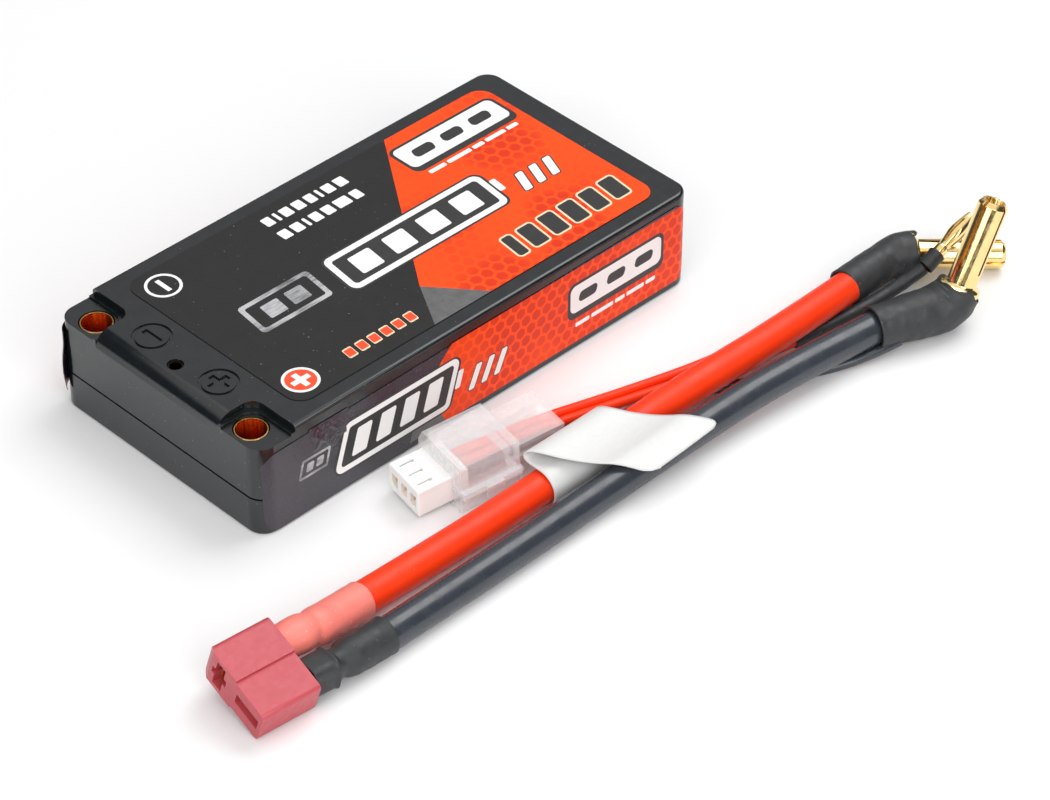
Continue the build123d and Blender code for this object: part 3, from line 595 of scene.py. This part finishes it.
# ---------------------------- wires
MAIN_WIRE = 5.5
THIN_WIRE = 1.7
WIRE_ROUNDNESS = 8
ROUTES = {
    "red_main_wire": [
        (-50.2, -46.5, 3.0), (-24.0, -47.1, 2.78), (1.0, -46.5, 2.85), (23.0, -47.3, 4.5),
        (43.0, -48.2, 5.0), (62.6, -46.7, 3.9),
    ],
    "black_main_wire": [
        (-52.6, -54.9, 3.0), (-29.0, -54.7, 2.78), (-7.0, -54.2, 2.85), (15.0, -54.6, 3.9),
        (36.0, -55.6, 5.1), (57.0, -57.6, 4.4),
    ],
}
CLIP_ORIGIN = Vector((-25.95, -32.9, 0.75))
CLIP_AXES = (
    Vector((0.98494, -0.16482, 0.05234)),
    Vector((0.16212, 0.98539, 0.05227)),
    Vector((-0.06019, -0.04299, 0.99726)),
)
# The three thin wires' ways inside the clip, in the clip's own frame, and then on the floor.
THIN_ROUTES = {
    "balance_wire_red": (
        [(9.45, 2.5, 2.3), (17.6, 1.4, 2.7), (26.9, 1.1, 2.1)],
        [(10.9, -37.5, 2.4), (21.6, -39.1, 0.98), (31.0, -41.6, 0.95), (41.5, -43.2, 0.95),
         (52.0, -43.5, 1.3), (62.3, -43.2, 2.2)],
    ),
    "balance_wire_middle": (
        [(9.45, 0, 2.3), (17.6, -0.6, 2.7), (26.9, -0.9, 2.1)],
        [(10.6, -39.4, 2.3), (21.0, -41.1, 0.95), (30.0, -43.7, 0.9), (39.0, -46.6, 0.9),
         (48.0, -48.3, 1.0), (58.0, -50.1, 1.4), (65.0, -51.2, 2.3), (69.3, -51.9, 3.4),
         (71.84, -53.27, 5.35)],
    ),
    "balance_wire_black": (
        [(9.45, -2.5, 2.3), (17.6, -2.9, 2.7), (26.9, -2.9, 2.1)],
        [(7.8, -41.4, 2.5), (15.2, -42.5, 0.95), (23.0, -44.4, 0.9), (31.0, -48.5, 0.9),
         (38.3, -53.0, 0.9), (45.0, -56.6, 0.95), (51.5, -59.3, 1.5), (57.5, -60.7, 2.2)],
    ),
}


def in_clip(point):
    """A point of the clip's own frame, in the row frame."""
    return tuple(CLIP_ORIGIN + sum((axis * value for axis, value in zip(CLIP_AXES, point)), Vector()))


for wire_name, (inside, outside) in THIN_ROUTES.items():
    ROUTES[wire_name] = [in_clip(point) for point in inside] + outside


def wire(node, diameter, slot):
    """The node's wire as a round curve along its route."""
    curve = nurbs(node + "_line", ROUTES[node])
    curve.bevel_depth = diameter / 2 * MM
    curve.bevel_resolution = WIRE_ROUNDNESS
    curve.use_fill_caps = True
    curve.materials.append(SLOTS[slot])
    piece = link(node + "_insulation", curve)
    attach(piece, "lead")
    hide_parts(node)
    return piece


red_wire = wire("red_main_wire", MAIN_WIRE, "wire_red")
black_wire = wire("black_main_wire", MAIN_WIRE, "wire_black")
thin_red = wire("balance_wire_red", THIN_WIRE, "wire_red")
thin_middle = wire("balance_wire_middle", THIN_WIRE, "wire_red")
thin_black = wire("balance_wire_black", THIN_WIRE, "wire_black")


# ---------------------------- sleeves
SLEEVE_ROUND = 0.12  # how far the rounding of a sleeve's ends reaches along it
SLEEVE_INSIDE = 2.2  # how far its inner wall goes in from each end
SLEEVE_TRIMMED = 3.0  # length over which an uneven cut fades out
RIPPLE_ALONG = 0.55  # way through the noise for each millimetre along the sleeve
RIPPLE_ROUND = 1.3  # radius of the circle through the noise for one turn round it
PIN_TUBE_REACH = 27.0
PIN_TUBE_STEPS = 12
UP = Vector((0, 0, 1))


def bulge(s, centre, width, height):
    """Smooth rise of a height around a distance along a line."""
    return height * math.exp(-((s - centre) / width) ** 2)


def ease(s, start, end):
    """0 before start, 1 after end, smooth between."""
    share = min(1.0, max(0.0, (s - start) / (end - start)))
    return share * share * (3 - 2 * share)


def sleeve_profile(length, wall, step):
    """Distance along the sleeve and inset of each ring, from inside one end to inside the other."""
    count = max(8, round(length / step))
    outer = [(length * index / count, 0.0) for index in range(1, count)]
    near_end = [(SLEEVE_INSIDE, -wall), (SLEEVE_ROUND, -wall), (0.0, -wall / 2), (SLEEVE_ROUND, 0.0)]
    far_end = [(length - SLEEVE_ROUND, 0.0), (length, -wall / 2), (length - SLEEVE_ROUND, -wall),
               (length - SLEEVE_INSIDE, -wall)]
    return near_end + outer + far_end


def tube_faces(rings, sides):
    """Faces of a closed tube whose points go ring by ring."""
    faces = []
    for ring in range(rings - 1):
        for side in range(sides):
            other = (side + 1) % sides
            faces.append((ring * sides + side, ring * sides + other,
                          (ring + 1) * sides + other, (ring + 1) * sides + side))
    last = (rings - 1) * sides
    faces.append(tuple(reversed(range(sides))))
    faces.append(tuple(range(last, last + sides)))
    return faces


def face_outward(piece):
    """Turns all of a closed piece's faces outward."""
    bm = bmesh.new()
    bm.from_mesh(piece.data)
    bmesh.ops.recalc_face_normals(bm, faces=bm.faces)
    bm.to_mesh(piece.data)
    bm.free()


def sleeve(name, points, radius, slot, wall=0.35, step=0.3, sides=56, seed=0.0, wrinkle=0.05, trim=None):
    """Shrunk tube along a line. radius(s, angle) is its outer radius at a distance along the line,
    and trim(angle) is how much further or shorter its far end is cut there."""
    line, travelled = smooth_line(points)
    length = travelled[-1]
    profile = sleeve_profile(length, wall, step)
    grid = []
    for s, inset in profile:
        for side in range(sides):
            angle = 2 * math.pi * side / sides
            cut = trim(angle) * ease(s, length - SLEEVE_TRIMMED, length) if trim else 0.0
            centre, ahead = at(line, travelled, s + cut)
            across = ahead.cross(UP).normalized()
            up = across.cross(ahead)
            wave = Vector((s * RIPPLE_ALONG, RIPPLE_ROUND * math.cos(angle),
                           RIPPLE_ROUND * math.sin(angle) + seed))
            reach = radius(s, angle) + inset + wrinkle * noise.noise(wave)
            grid.append(centre + (across * math.cos(angle) + up * math.sin(angle)) * reach)
    piece = finish_mesh(name, grid, tube_faces(len(profile), sides), SLOTS[slot], "lead")
    face_outward(piece)
    return piece


def squared(angle, power):
    """Radius factor of a rounded square section; power 2 is a circle."""
    return (abs(math.cos(angle)) ** power + abs(math.sin(angle)) ** power) ** (-1 / power)


def pink_radius(s, angle):
    """A swelling over the contact's solder, a flattened crease behind it, and then the wire."""
    body = 2.86 + 0.2 * ease(s, 5.6, 8.5)
    crease = bulge(s, 6.0, 0.8, -0.1 - 0.22 * math.cos(angle) ** 2)
    return body + crease + bulge(s, 3.6, 1.6, 0.12)


def black_plug_radius(s, angle):
    """Boxy over the contact, with a ridge and a slanted fold where it turns round over the wire."""
    boxy = 1 - ease(s, 4.2, 5.6)
    section = squared(angle, 2 + 2.2 * boxy)
    body = 2.6 * section * boxy + (1 - boxy) * (2.62 + 0.42 * ease(s, 5.5, 9.0))
    ridge = bulge(s, 4.5, 0.3, 0.3)
    fold = bulge(s, 6.2, 0.8, -0.16 * (1 + math.cos(2 * angle + 1.0)))
    rim = bulge(s, 15.6, 0.5, 0.08)
    return body + ridge + fold + rim


def red_bullet_radius(s, angle):
    """Round over the wire, with a dip before it flares over the bullet."""
    flare = 0.5 * ease(s, 9.0, 13.5)
    return 3.22 + flare + bulge(s, 0.2, 0.5, 0.06) + bulge(s, 10.0, 1.6, -0.12)


def black_bullet_radius(s, angle):
    """Wider than the wire, with a belly at the bend and a tighter end."""
    belly = 0.35 * ease(s, 3.0, 8.0) + bulge(s, 13.0, 2.5, 0.25)
    return 3.62 + belly + bulge(s, 0.2, 0.5, 0.08) + bulge(s, 16.6, 0.8, -0.15)


def pin_radius(s, angle):
    """Plain, with a slight rim at the pin's end."""
    return 1.42 + bulge(s, 3.0, 0.5, 0.1)


def pin_tube_radius(s, angle):
    """A snug fit on the thin wire."""
    return 1.12 + bulge(s, 22.5, 0.5, 0.05)


def red_bullet_trim(angle):
    """Jagged edge of the red wire's sleeve."""
    return 0.5 * math.sin(3 * angle) + 0.35 * math.sin(5 * angle + 1)


def black_bullet_trim(angle):
    """Uneven edge of the black wire's sleeve."""
    return 0.5 * math.sin(2 * angle + 0.5) + 0.3 * math.sin(5 * angle)


def route_end(points, reach):
    """Points along the last stretch of a route, that far from its end."""
    line, travelled = smooth_line(points)
    start = travelled[-1] - reach
    steps = [start + reach * index / PIN_TUBE_STEPS for index in range(PIN_TUBE_STEPS + 1)]
    return [tuple(at(line, travelled, s)[0]) for s in steps]


pink_sleeve = sleeve(
    "pink_plug_sleeve",
    [(-65.5, -48.05, 6.3), (-61.2, -48.3, 6.2), (-57.8, -47.9, 5.0), (-52.8, -47.0, 3.6),
     (-47.6, -46.6, 3.0)],
    pink_radius, "sleeve_pink", wall=0.22, seed=3.0,
)
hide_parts("red_plug_sleeve")
black_sleeve = sleeve(
    "matt_plug_sleeve",
    [(-66.05, -54.55, 4.1), (-61.0, -54.75, 3.7), (-55.5, -54.9, 3.3), (-50.2, -54.9, 3.1)],
    black_plug_radius, "sleeve_black", wall=0.3, seed=7.0, wrinkle=0.07,
)
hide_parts("black_plug_sleeve")
red_end_sleeve = sleeve(
    "matt_red_end_sleeve",
    [(60.0, -46.5, 3.75), (66.5, -46.35, 3.95), (72.6, -46.35, 4.05), (75.0, -48.4, 4.0)],
    red_bullet_radius, "sleeve_black", wall=0.45, seed=11.0, wrinkle=0.1, trim=red_bullet_trim,
)
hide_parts("red_bullet_sleeve")
black_end_sleeve = sleeve(
    "matt_black_end_sleeve",
    [(54.6, -57.35, 4.45), (61.0, -59.5, 4.5), (68.2, -61.8, 4.1), (70.2, -62.15, 7.0)],
    black_bullet_radius, "sleeve_black", wall=0.45, seed=17.0, wrinkle=0.14, trim=black_bullet_trim,
)
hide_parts("black_bullet_sleeve")
pin_sleeve = sleeve(
    "matt_pin_sleeve", [(71.9, -53.28, 5.39), (73.3, -53.38, 6.17), (74.7, -53.49, 6.94)],
    pin_radius, "sleeve_black", wall=0.25, step=0.2, sides=32, seed=23.0,
)
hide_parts("balance_pin_sleeve")
pin_tube = sleeve(
    "matt_pin_tube", route_end(ROUTES["balance_wire_middle"], PIN_TUBE_REACH),
    pin_tube_radius, "sleeve_black", wall=0.2, step=0.35, sides=28, seed=29.0, wrinkle=0.03,
)


# ---------------------------- paper tag
TAG_WIDTH = 15.7
TAG_START = -10.2
TAG_THICKNESS = 0.22
TAG_CORNER = 2.0
TAG_COLUMNS = 24
# Its wrapped part goes round the red wire: the arc's middle in Y and Z, radius, angles and steps.
WRAP_MIDDLE = (-46.7, 2.86)
WRAP_RADIUS = 3.28
WRAP_FROM = 228
WRAP_TURN = -138
WRAP_STEPS = 14
# Its loose part: shift along X, and then Y and Z.
TAG_LOOSE = [
    (0.0, -45.0, 6.2), (0.0, -43.4, 6.2), (0.05, -42.9, 7.2), (0.3, -43.6, 8.1), (1.2, -45.4, 8.3),
    (3.6, -48.3, 7.4), (6.5, -51.7, 7.0), (9.4, -55.1, 7.5), (12.4, -58.6, 6.0),
]
TAG_CURL = 0.55
TAG_WAVE = 0.12


def tag_wrap():
    """The wrapped part's line, from under the near side of the red wire to its top."""
    points = []
    for index in range(WRAP_STEPS + 1):
        angle = math.radians(WRAP_FROM + WRAP_TURN * index / WRAP_STEPS)
        points.append((0.0, WRAP_MIDDLE[0] + WRAP_RADIUS * math.cos(angle),
                       WRAP_MIDDLE[1] + WRAP_RADIUS * math.sin(angle)))
    return points


def lengths_left(line):
    """Distance from each point of a line to its far end."""
    left = [0.0]
    for near, far in zip(line[::-1], line[-2::-1]):
        left.append(left[-1] + math.dist(near, far))
    return left[::-1]


def paper_tag():
    """The strip and its flat length in metres. Its free end has round corners and a slight curl."""
    wrap = tag_wrap()
    loose, _ = smooth_line(TAG_LOOSE)
    line = wrap + [tuple(point) for point in loose[1:]]
    points = []
    for index, ((drift, y, z), left) in enumerate(zip(line, lengths_left(line))):
        free = max(0.0, (index - len(wrap)) / (len(line) - len(wrap)))
        short = max(0.0, TAG_CORNER - left)
        inset = TAG_CORNER - math.sqrt(TAG_CORNER ** 2 - short ** 2)
        for column in range(TAG_COLUMNS + 1):
            u = column / TAG_COLUMNS
            curl = TAG_CURL * free ** 3 * (u - 0.35) * 2
            wave = TAG_WAVE * math.sin(3.1 * u + 4 * free) * free
            reach = min(max(TAG_WIDTH * u, inset), TAG_WIDTH - inset)
            points.append((TAG_START + drift + reach, y, z + curl + wave))
    faces = grid_faces(len(line) - 1, TAG_COLUMNS)
    piece = finish_mesh("paper_tag", points, faces, SLOTS["tag_white"], "lead")
    thicken(piece, TAG_THICKNESS, 0)
    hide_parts("wire_tag")
    area = sum(polygon.area for polygon in piece.data.polygons)
    return piece, area / (TAG_WIDTH * MM)


tag, tag_length = paper_tag()

# ---------------------------- print
# Where the labels lie on the case, and where the side ones turn round its corner.
TOP_Z = 18.62
SIDE_Y = -23.87
CORNER_X = 44.0
CORNER_RADIUS = 3.12
CORNER_CUTS = 8
CORNER_CUT_STEP = 0.3
ARC_STEPS = 6
DISC_SIDES = 56
GAUGE_BARS = 4
SIGN_RADIUS = 3.05
SIGN_STROKE = 0.5
# How far each layer of print stands above the film, with the layers that cover others higher.
FIELD_RISE = 0.012
EDGE_RISE = 0.016
HIGH_EDGE_RISE = 0.018
LINE_RISE = 0.02
CODE_RISE = 0.026
FACE_RISE = 0.028


def on_top(u, v):
    """Point and normal on the top label."""
    return Vector((u, v, TOP_Z)), Vector((0, 0, 1))


def on_front(u, v):
    """Point and normal on the front label, which turns round the case's corner past CORNER_X."""
    turn = max(0.0, u - CORNER_X) / CORNER_RADIUS
    normal = Vector((math.sin(turn), -math.cos(turn), 0))
    centre = Vector((min(u, CORNER_X), SIDE_Y + CORNER_RADIUS, v))
    return centre + normal * CORNER_RADIUS, normal


def on_back(u, v):
    """The same on the back label, which is the front one turned half round."""
    point, normal = on_front(u, v)
    return Vector((-point.x, -point.y, point.z)), Vector((-normal.x, -normal.y, 0))


def outline(corners, radii):
    """Closed outline through corners, each rounded by an arc of its own radius."""
    points = []
    count = len(corners)
    for index, corner in enumerate(corners):
        here = Vector(corner)
        back = (Vector(corners[index - 1]) - here).normalized()
        ahead = (Vector(corners[(index + 1) % count]) - here).normalized()
        radius = radii[index] if isinstance(radii, (list, tuple)) else radii
        if radius <= 0:
            points.append((here.x, here.y))
            continue
        half = back.angle(ahead) / 2
        reach = radius / math.tan(half)
        middle = here + (back + ahead).normalized() * (radius / math.sin(half))
        first = here + back * reach - middle
        last = here + ahead * reach - middle
        sweep = first.angle_signed(last)
        for step in range(ARC_STEPS + 1):
            angle = -sweep * step / ARC_STEPS
            turned = Vector((first.x * math.cos(angle) - first.y * math.sin(angle),
                             first.x * math.sin(angle) + first.y * math.cos(angle)))
            points.append((middle.x + turned.x, middle.y + turned.y))
    return points


def bar(x, y, width, height, radius=0.3, slant=0.0):
    """Rounded bar centred at (x, y), leaning along +x by slant times its height."""
    corners = []
    for right, top in ((-1, -1), (1, -1), (1, 1), (-1, 1)):
        corners.append((x + right * width / 2 + top * slant * height / 2, y + top * height / 2))
    return outline(corners, radius)


def disc(x, y, radius):
    """Round outline."""
    angles = [2 * math.pi * side / DISC_SIDES for side in range(DISC_SIDES)]
    return [(x + radius * math.cos(angle), y + radius * math.sin(angle)) for angle in angles]


def flat_print(shapes):
    """Flat mesh of shapes, each one a list of rings: its outline and then its holes. It is cut where
    a side label turns round the case's corner, and faces up."""
    bm = bmesh.new()
    for rings in shapes:
        rings = [[Vector((u, v, 0)) for u, v in ring] for ring in rings]
        corners = [bm.verts.new(point) for ring in rings for point in ring]
        for triangle in tessellate_polygon(rings):
            bm.faces.new([corners[index] for index in triangle])
    for index in range(CORNER_CUTS):
        geometry = bm.verts[:] + bm.edges[:] + bm.faces[:]
        place = (CORNER_X + CORNER_CUT_STEP * index, 0, 0)
        bmesh.ops.bisect_plane(bm, geom=geometry, plane_co=place, plane_no=(1, 0, 0))
    bm.normal_update()
    for face in bm.faces:
        if face.normal.dot(UP) < 0:
            face.normal_flip()
    return bm


def print_piece(name, shapes, place, material, rise=LINE_RISE):
    """Thin print of shapes on the label that place(u, v) gives the points and normals of."""
    bm = flat_print(shapes)
    points, normals = zip(*[place(vertex.co.x, vertex.co.y) for vertex in bm.verts])
    bm.verts.index_update()
    faces = [[vertex.index for vertex in face.verts] for face in bm.faces]
    bm.free()
    raised = [point + normal * rise for point, normal in zip(points, normals)]
    piece = finish_mesh(name, raised, faces, material, "pack", smooth=False)
    if piece.data.polygons[0].normal.dot(normals[faces[0][0]]) < 0:
        piece.data.flip_normals()
    thicken(piece, rise, -1)


def gauge(x, y, width, height, stroke, slant):
    """Battery gauge: a rounded frame with slanted bars inside and its terminal at the right."""
    frame_ring = [bar(x, y, width, height, stroke * 1.3, slant),
                  bar(x, y, width - 2 * stroke, height - 2 * stroke, stroke * 0.6, slant)]
    inner = width - 4 * stroke
    pitch = inner / GAUGE_BARS
    shapes = [frame_ring]
    for index in range(GAUGE_BARS):
        middle = x - inner / 2 + pitch * (index + 0.5)
        shapes.append([bar(middle, y, pitch * 0.62, height - 4 * stroke, stroke * 0.35, slant)])
    shapes.append([bar(x + width / 2 + stroke * 0.9, y, stroke * 1.1, height * 0.36, stroke * 0.3, slant)])
    return shapes


def hashes(x, y, widths, height, gap, slant=0.0, radius=0.25, grow=0.0):
    """Row of plain bars from x on; grow makes each one larger all round."""
    shapes = []
    for width in widths:
        shapes.append([bar(x + width / 2, y, width + 2 * grow, height + 2 * grow, radius + grow, slant)])
        x += width + gap
    return shapes


def plate(x, y, width, height, stroke, radius, slant=0.0):
    """Plain frame with two bars inside it."""
    return [
        [bar(x, y, width, height, radius, slant),
         bar(x, y, width - 2 * stroke, height - 2 * stroke, radius * 0.6, slant)],
        [bar(x - width * 0.16, y, width * 0.24, height * 0.45, 0.3, slant)],
        [bar(x + width * 0.18, y, width * 0.24, height * 0.45, 0.3, slant)],
    ]


def ring_sign(x, y, plus):
    """White ring with a plus or a minus in it."""
    shapes = [[disc(x, y, SIGN_RADIUS), disc(x, y, SIGN_RADIUS - SIGN_STROKE)]]
    if plus:
        arm, half = 0.5, 1.75
        corners = [(-arm, -half), (arm, -half), (arm, -arm), (half, -arm), (half, arm), (arm, arm),
                   (arm, half), (-arm, half), (-arm, arm), (-half, arm), (-half, -arm), (-arm, -arm)]
        shapes.append([[(x + u, y + v) for u, v in corners]])
    else:
        shapes.append([bar(x, y, 0.8, 3.4, 0.1)])
    return shapes


def badge(x, y, width, height):
    """Plain white plate with three cut-out lozenges."""
    holes = [bar(x + shift, y, width * 0.2, height * 0.38, 0.8, 0.3) for shift in (-6.4, 0.0, 6.4)]
    return [[bar(x, y, width, height, 1.2), *holes]]


def print_layers(prefix, place, layers):
    """Prints each layer, which is (name, shapes, ink, rise)."""
    for name, shapes, material, rise in layers:
        print_piece(prefix + name, shapes, place, material, rise)


def top_print():
    """The top label's coloured field, its gauge and the marks beside it, from the lowest layer up."""
    field = [(42.3, 20.7), (20.2, 20.7), (-2.6, -12.0), (4.7, -20.7), (42.3, -20.7)]
    corner = [(-2.6, -12.0), (-7.6, -20.7), (4.7, -20.7)]
    print_layers("top_", on_top, [
        ("orange_field", [[outline(field, [3.0, 0, 0, 0, 3.0])]], TOP_ORANGE, FIELD_RISE),
        ("grey_corner", [[corner]], GREY_INK, FIELD_RISE),
        ("gauge_edge", [[bar(6.9, -1.2, 35.0, 10.1, 1.8, 0.12)]], BLACK_INK, EDGE_RISE),
        ("gauge", gauge(6.9, -1.2, 34.0, 9.3, 1.15, 0.12), WHITE_INK, FACE_RISE),
    ])
    marks = {"x": 28.0, "y": -3.4, "widths": [1.6] * 3, "height": 4.6, "gap": 1.5, "slant": 0.4,
             "radius": 0.3}
    print_layers("top_", on_top, [
        ("marks_edge", hashes(**marks, grow=0.25), BLACK_INK, EDGE_RISE),
        ("marks", hashes(**marks), WHITE_INK, FACE_RISE),
    ])


def top_small_print():
    """The top label's rows of small bars."""
    upper = (1.7, 0.6, 1.9, 1.9, 1.7, 0.6, 1.9, 2.0)
    lower = (1.9, 1.9, 0.6, 1.9, 1.9, 2.8, 1.8)
    print_layers("top_", on_top, [
        ("line_upper", hashes(-9.3, 17.2, upper, 2.3, 0.75), WHITE_INK, LINE_RISE),
        ("line_lower", hashes(-9.6, 12.9, lower, 2.3, 0.75), WHITE_INK, LINE_RISE),
    ])
    rating = {"x": 14.6, "y": -14.8, "widths": [2.0] + [3.1] * 5, "height": 5.4, "gap": 1.5, "slant": 0.12,
              "radius": 0.5}
    code = {"x": -22.6, "y": -16.6, "widths": [1.8] * 6, "gap": 0.75, "slant": 0.1, "radius": 0.3}
    print_layers("top_", on_top, [
        ("rating_edge", hashes(**rating, grow=0.38), CREAM_INK, HIGH_EDGE_RISE),
        ("rating", hashes(**rating), BLACK_INK, FACE_RISE),
        ("code_edge", hashes(**code, height=2.4), CREAM_INK, EDGE_RISE),
        ("code", hashes(**code, height=2.0, grow=-0.12), SIGN_INK, CODE_RISE),
    ])


def top_badges():
    """The top label's badge, its silver plate and its two signs."""
    fine_print = hashes(19.4, 8.9, (3.6, 5.2, 2.4, 4.4, 2.4), 0.9, 0.5)
    print_layers("top_", on_top, [
        ("badge_edge", [[bar(29.5, 13.9, 23.4, 7.9, 1.6)]], BLACK_INK, HIGH_EDGE_RISE),
        ("badge", badge(29.5, 14.3, 22.2, 6.0), WHITE_INK, FACE_RISE),
        ("badge_line", fine_print, WHITE_INK, LINE_RISE),
        ("plate", plate(-20.4, -0.2, 14.6, 7.6, 0.9, 0.8, 0.12), SILVER_INK, LINE_RISE),
        ("minus_sign", ring_sign(-31.4, 16.2, False), WHITE_INK, LINE_RISE),
        ("plus_disc", [[disc(-31.7, -16.3, 2.8)]], SIGN_INK, FIELD_RISE),
        ("plus_sign", ring_sign(-31.7, -16.3, True), WHITE_INK, LINE_RISE),
    ])


def side_print(prefix, place):
    """A side label's print, from the lowest layer up."""
    field = [(45.5, 16.3), (-7.0, 16.3), (-12.6, 10.6), (-8.4, 1.5), (45.5, 1.5)]
    corner = [(-14.4, 7.6), (-12.6, 10.6), (-8.4, 1.5), (-16.2, 1.5)]
    marks = {"x": -2.6, "y": 7.0, "widths": [1.3] * 3, "height": 4.4, "gap": 1.5, "slant": 0.45,
             "radius": 0.3}
    fine_print = hashes(20.4, 4.9, (3.2, 5.0, 2.2, 4.0, 2.2), 0.8, 0.45)
    print_layers(prefix, place, [
        ("_orange_field", [[outline(field, [1.6, 0, 0, 0, 1.6])]], SIDE_ORANGE, FIELD_RISE),
        ("_grey_corner", [[corner]], GREY_INK, FIELD_RISE),
        ("_gauge_edge", [[bar(-18.6, 8.4, 25.4, 9.9, 1.8, 0.3)]], BLACK_INK, EDGE_RISE),
        ("_gauge", gauge(-18.6, 8.4, 24.4, 9.2, 1.05, 0.3), WHITE_INK, FACE_RISE),
        ("_marks_edge", hashes(**marks, grow=0.22), BLACK_INK, EDGE_RISE),
        ("_marks", hashes(**marks), WHITE_INK, FACE_RISE),
        ("_badge_edge", [[bar(29.6, 9.9, 22.0, 7.2, 1.5)]], BLACK_INK, HIGH_EDGE_RISE),
        ("_badge", badge(29.6, 10.2, 20.8, 5.4), WHITE_INK, FACE_RISE),
        ("_badge_line", fine_print, WHITE_INK, LINE_RISE),
        ("_plate", plate(-36.0, 9.0, 6.0, 3.6, 0.45, 0.4, 0.25), SILVER_INK, LINE_RISE),
    ])


# ---------------------------- loose film
BLISTER_LOW = (-37.0, 10.7)
BLISTER_HIGH = (-29.0, 16.1)
BLISTER_CELLS = (66, 46)
FLAP_CELLS = (12, 20)
FLAP_LOW = 3.4
FLAP_HEIGHT = 11.6
FLAP_TURN = 73.8  # degrees of the corner that it still goes round
FLAP_LIFT = 0.9
FLAP_THICKNESS = 0.12
FILM_GAP = 0.02


def blister_height(u, v):
    """Puckers that die out towards the patch's edge, for u and v from 0 to 1."""
    rise = max(0.0, 1 - (2 * u - 1) ** 2) * max(0.0, 1 - (2 * v - 1) ** 2)
    fold = abs(noise.noise(Vector((u * 4.2 + 3, v * 2.6 + u * 1.5, 1.7))))
    fine = abs(noise.noise(Vector((u * 10, v * 6 - u * 3, 5.2))))
    return -0.01 + rise * (0.06 + 0.75 * max(0.0, 0.42 - fold) + 0.16 * fine)


def front_blister():
    """Puckered patch of the front label, where the film has come away from the case."""
    columns, rows = BLISTER_CELLS
    points = []
    for row in range(rows + 1):
        v = row / rows
        height = BLISTER_LOW[1] + (BLISTER_HIGH[1] - BLISTER_LOW[1]) * v
        for column in range(columns + 1):
            u = column / columns
            point, normal = on_front(BLISTER_LOW[0] + (BLISTER_HIGH[0] - BLISTER_LOW[0]) * u, height)
            points.append(point + normal * blister_height(u, v))
    faces = grid_faces(rows, columns)
    finish_mesh("front_label_blister", points, faces, FILM["side"], "pack")


def back_flap():
    """End of the back label that stands off the case at its vertical corner."""
    columns, rows = FLAP_CELLS
    centre = Vector((-CORNER_X, -(SIDE_Y + CORNER_RADIUS), 0))
    points = []
    for row in range(rows + 1):
        v = row / rows
        share = 0.5 + 0.5 * math.sin(math.pi * min(1.0, 1.3 * v))
        for column in range(columns + 1):
            u = column / columns
            angle = math.radians(FLAP_TURN * u)
            radius = CORNER_RADIUS + FLAP_LIFT * u ** 1.6 * share + FILM_GAP
            height = FLAP_LOW + FLAP_HEIGHT * v
            points.append(centre + Vector((-math.sin(angle) * radius, math.cos(angle) * radius, height)))
    faces = grid_faces(rows, columns)
    piece = finish_mesh("back_label_flap", points, faces, FILM["side"], "pack")
    thicken(piece, FLAP_THICKNESS, 1)


top_print()
top_small_print()
top_badges()
side_print("front", on_front)
side_print("back", on_back)
front_blister()
back_flap()

# ---------------------------- floor
FLOOR_HALF = 3000.0
floor_points = [(-FLOOR_HALF, -FLOOR_HALF, 0), (FLOOR_HALF, -FLOOR_HALF, 0),
                (FLOOR_HALF, FLOOR_HALF, 0), (-FLOOR_HALF, FLOOR_HALF, 0)]
floor_mesh = bpy.data.meshes.new("floor")
floor_mesh.from_pydata([mm(point) for point in floor_points], [], [(0, 1, 2, 3)])
floor_mesh.materials.append(studio_floor())
link("floor", floor_mesh)
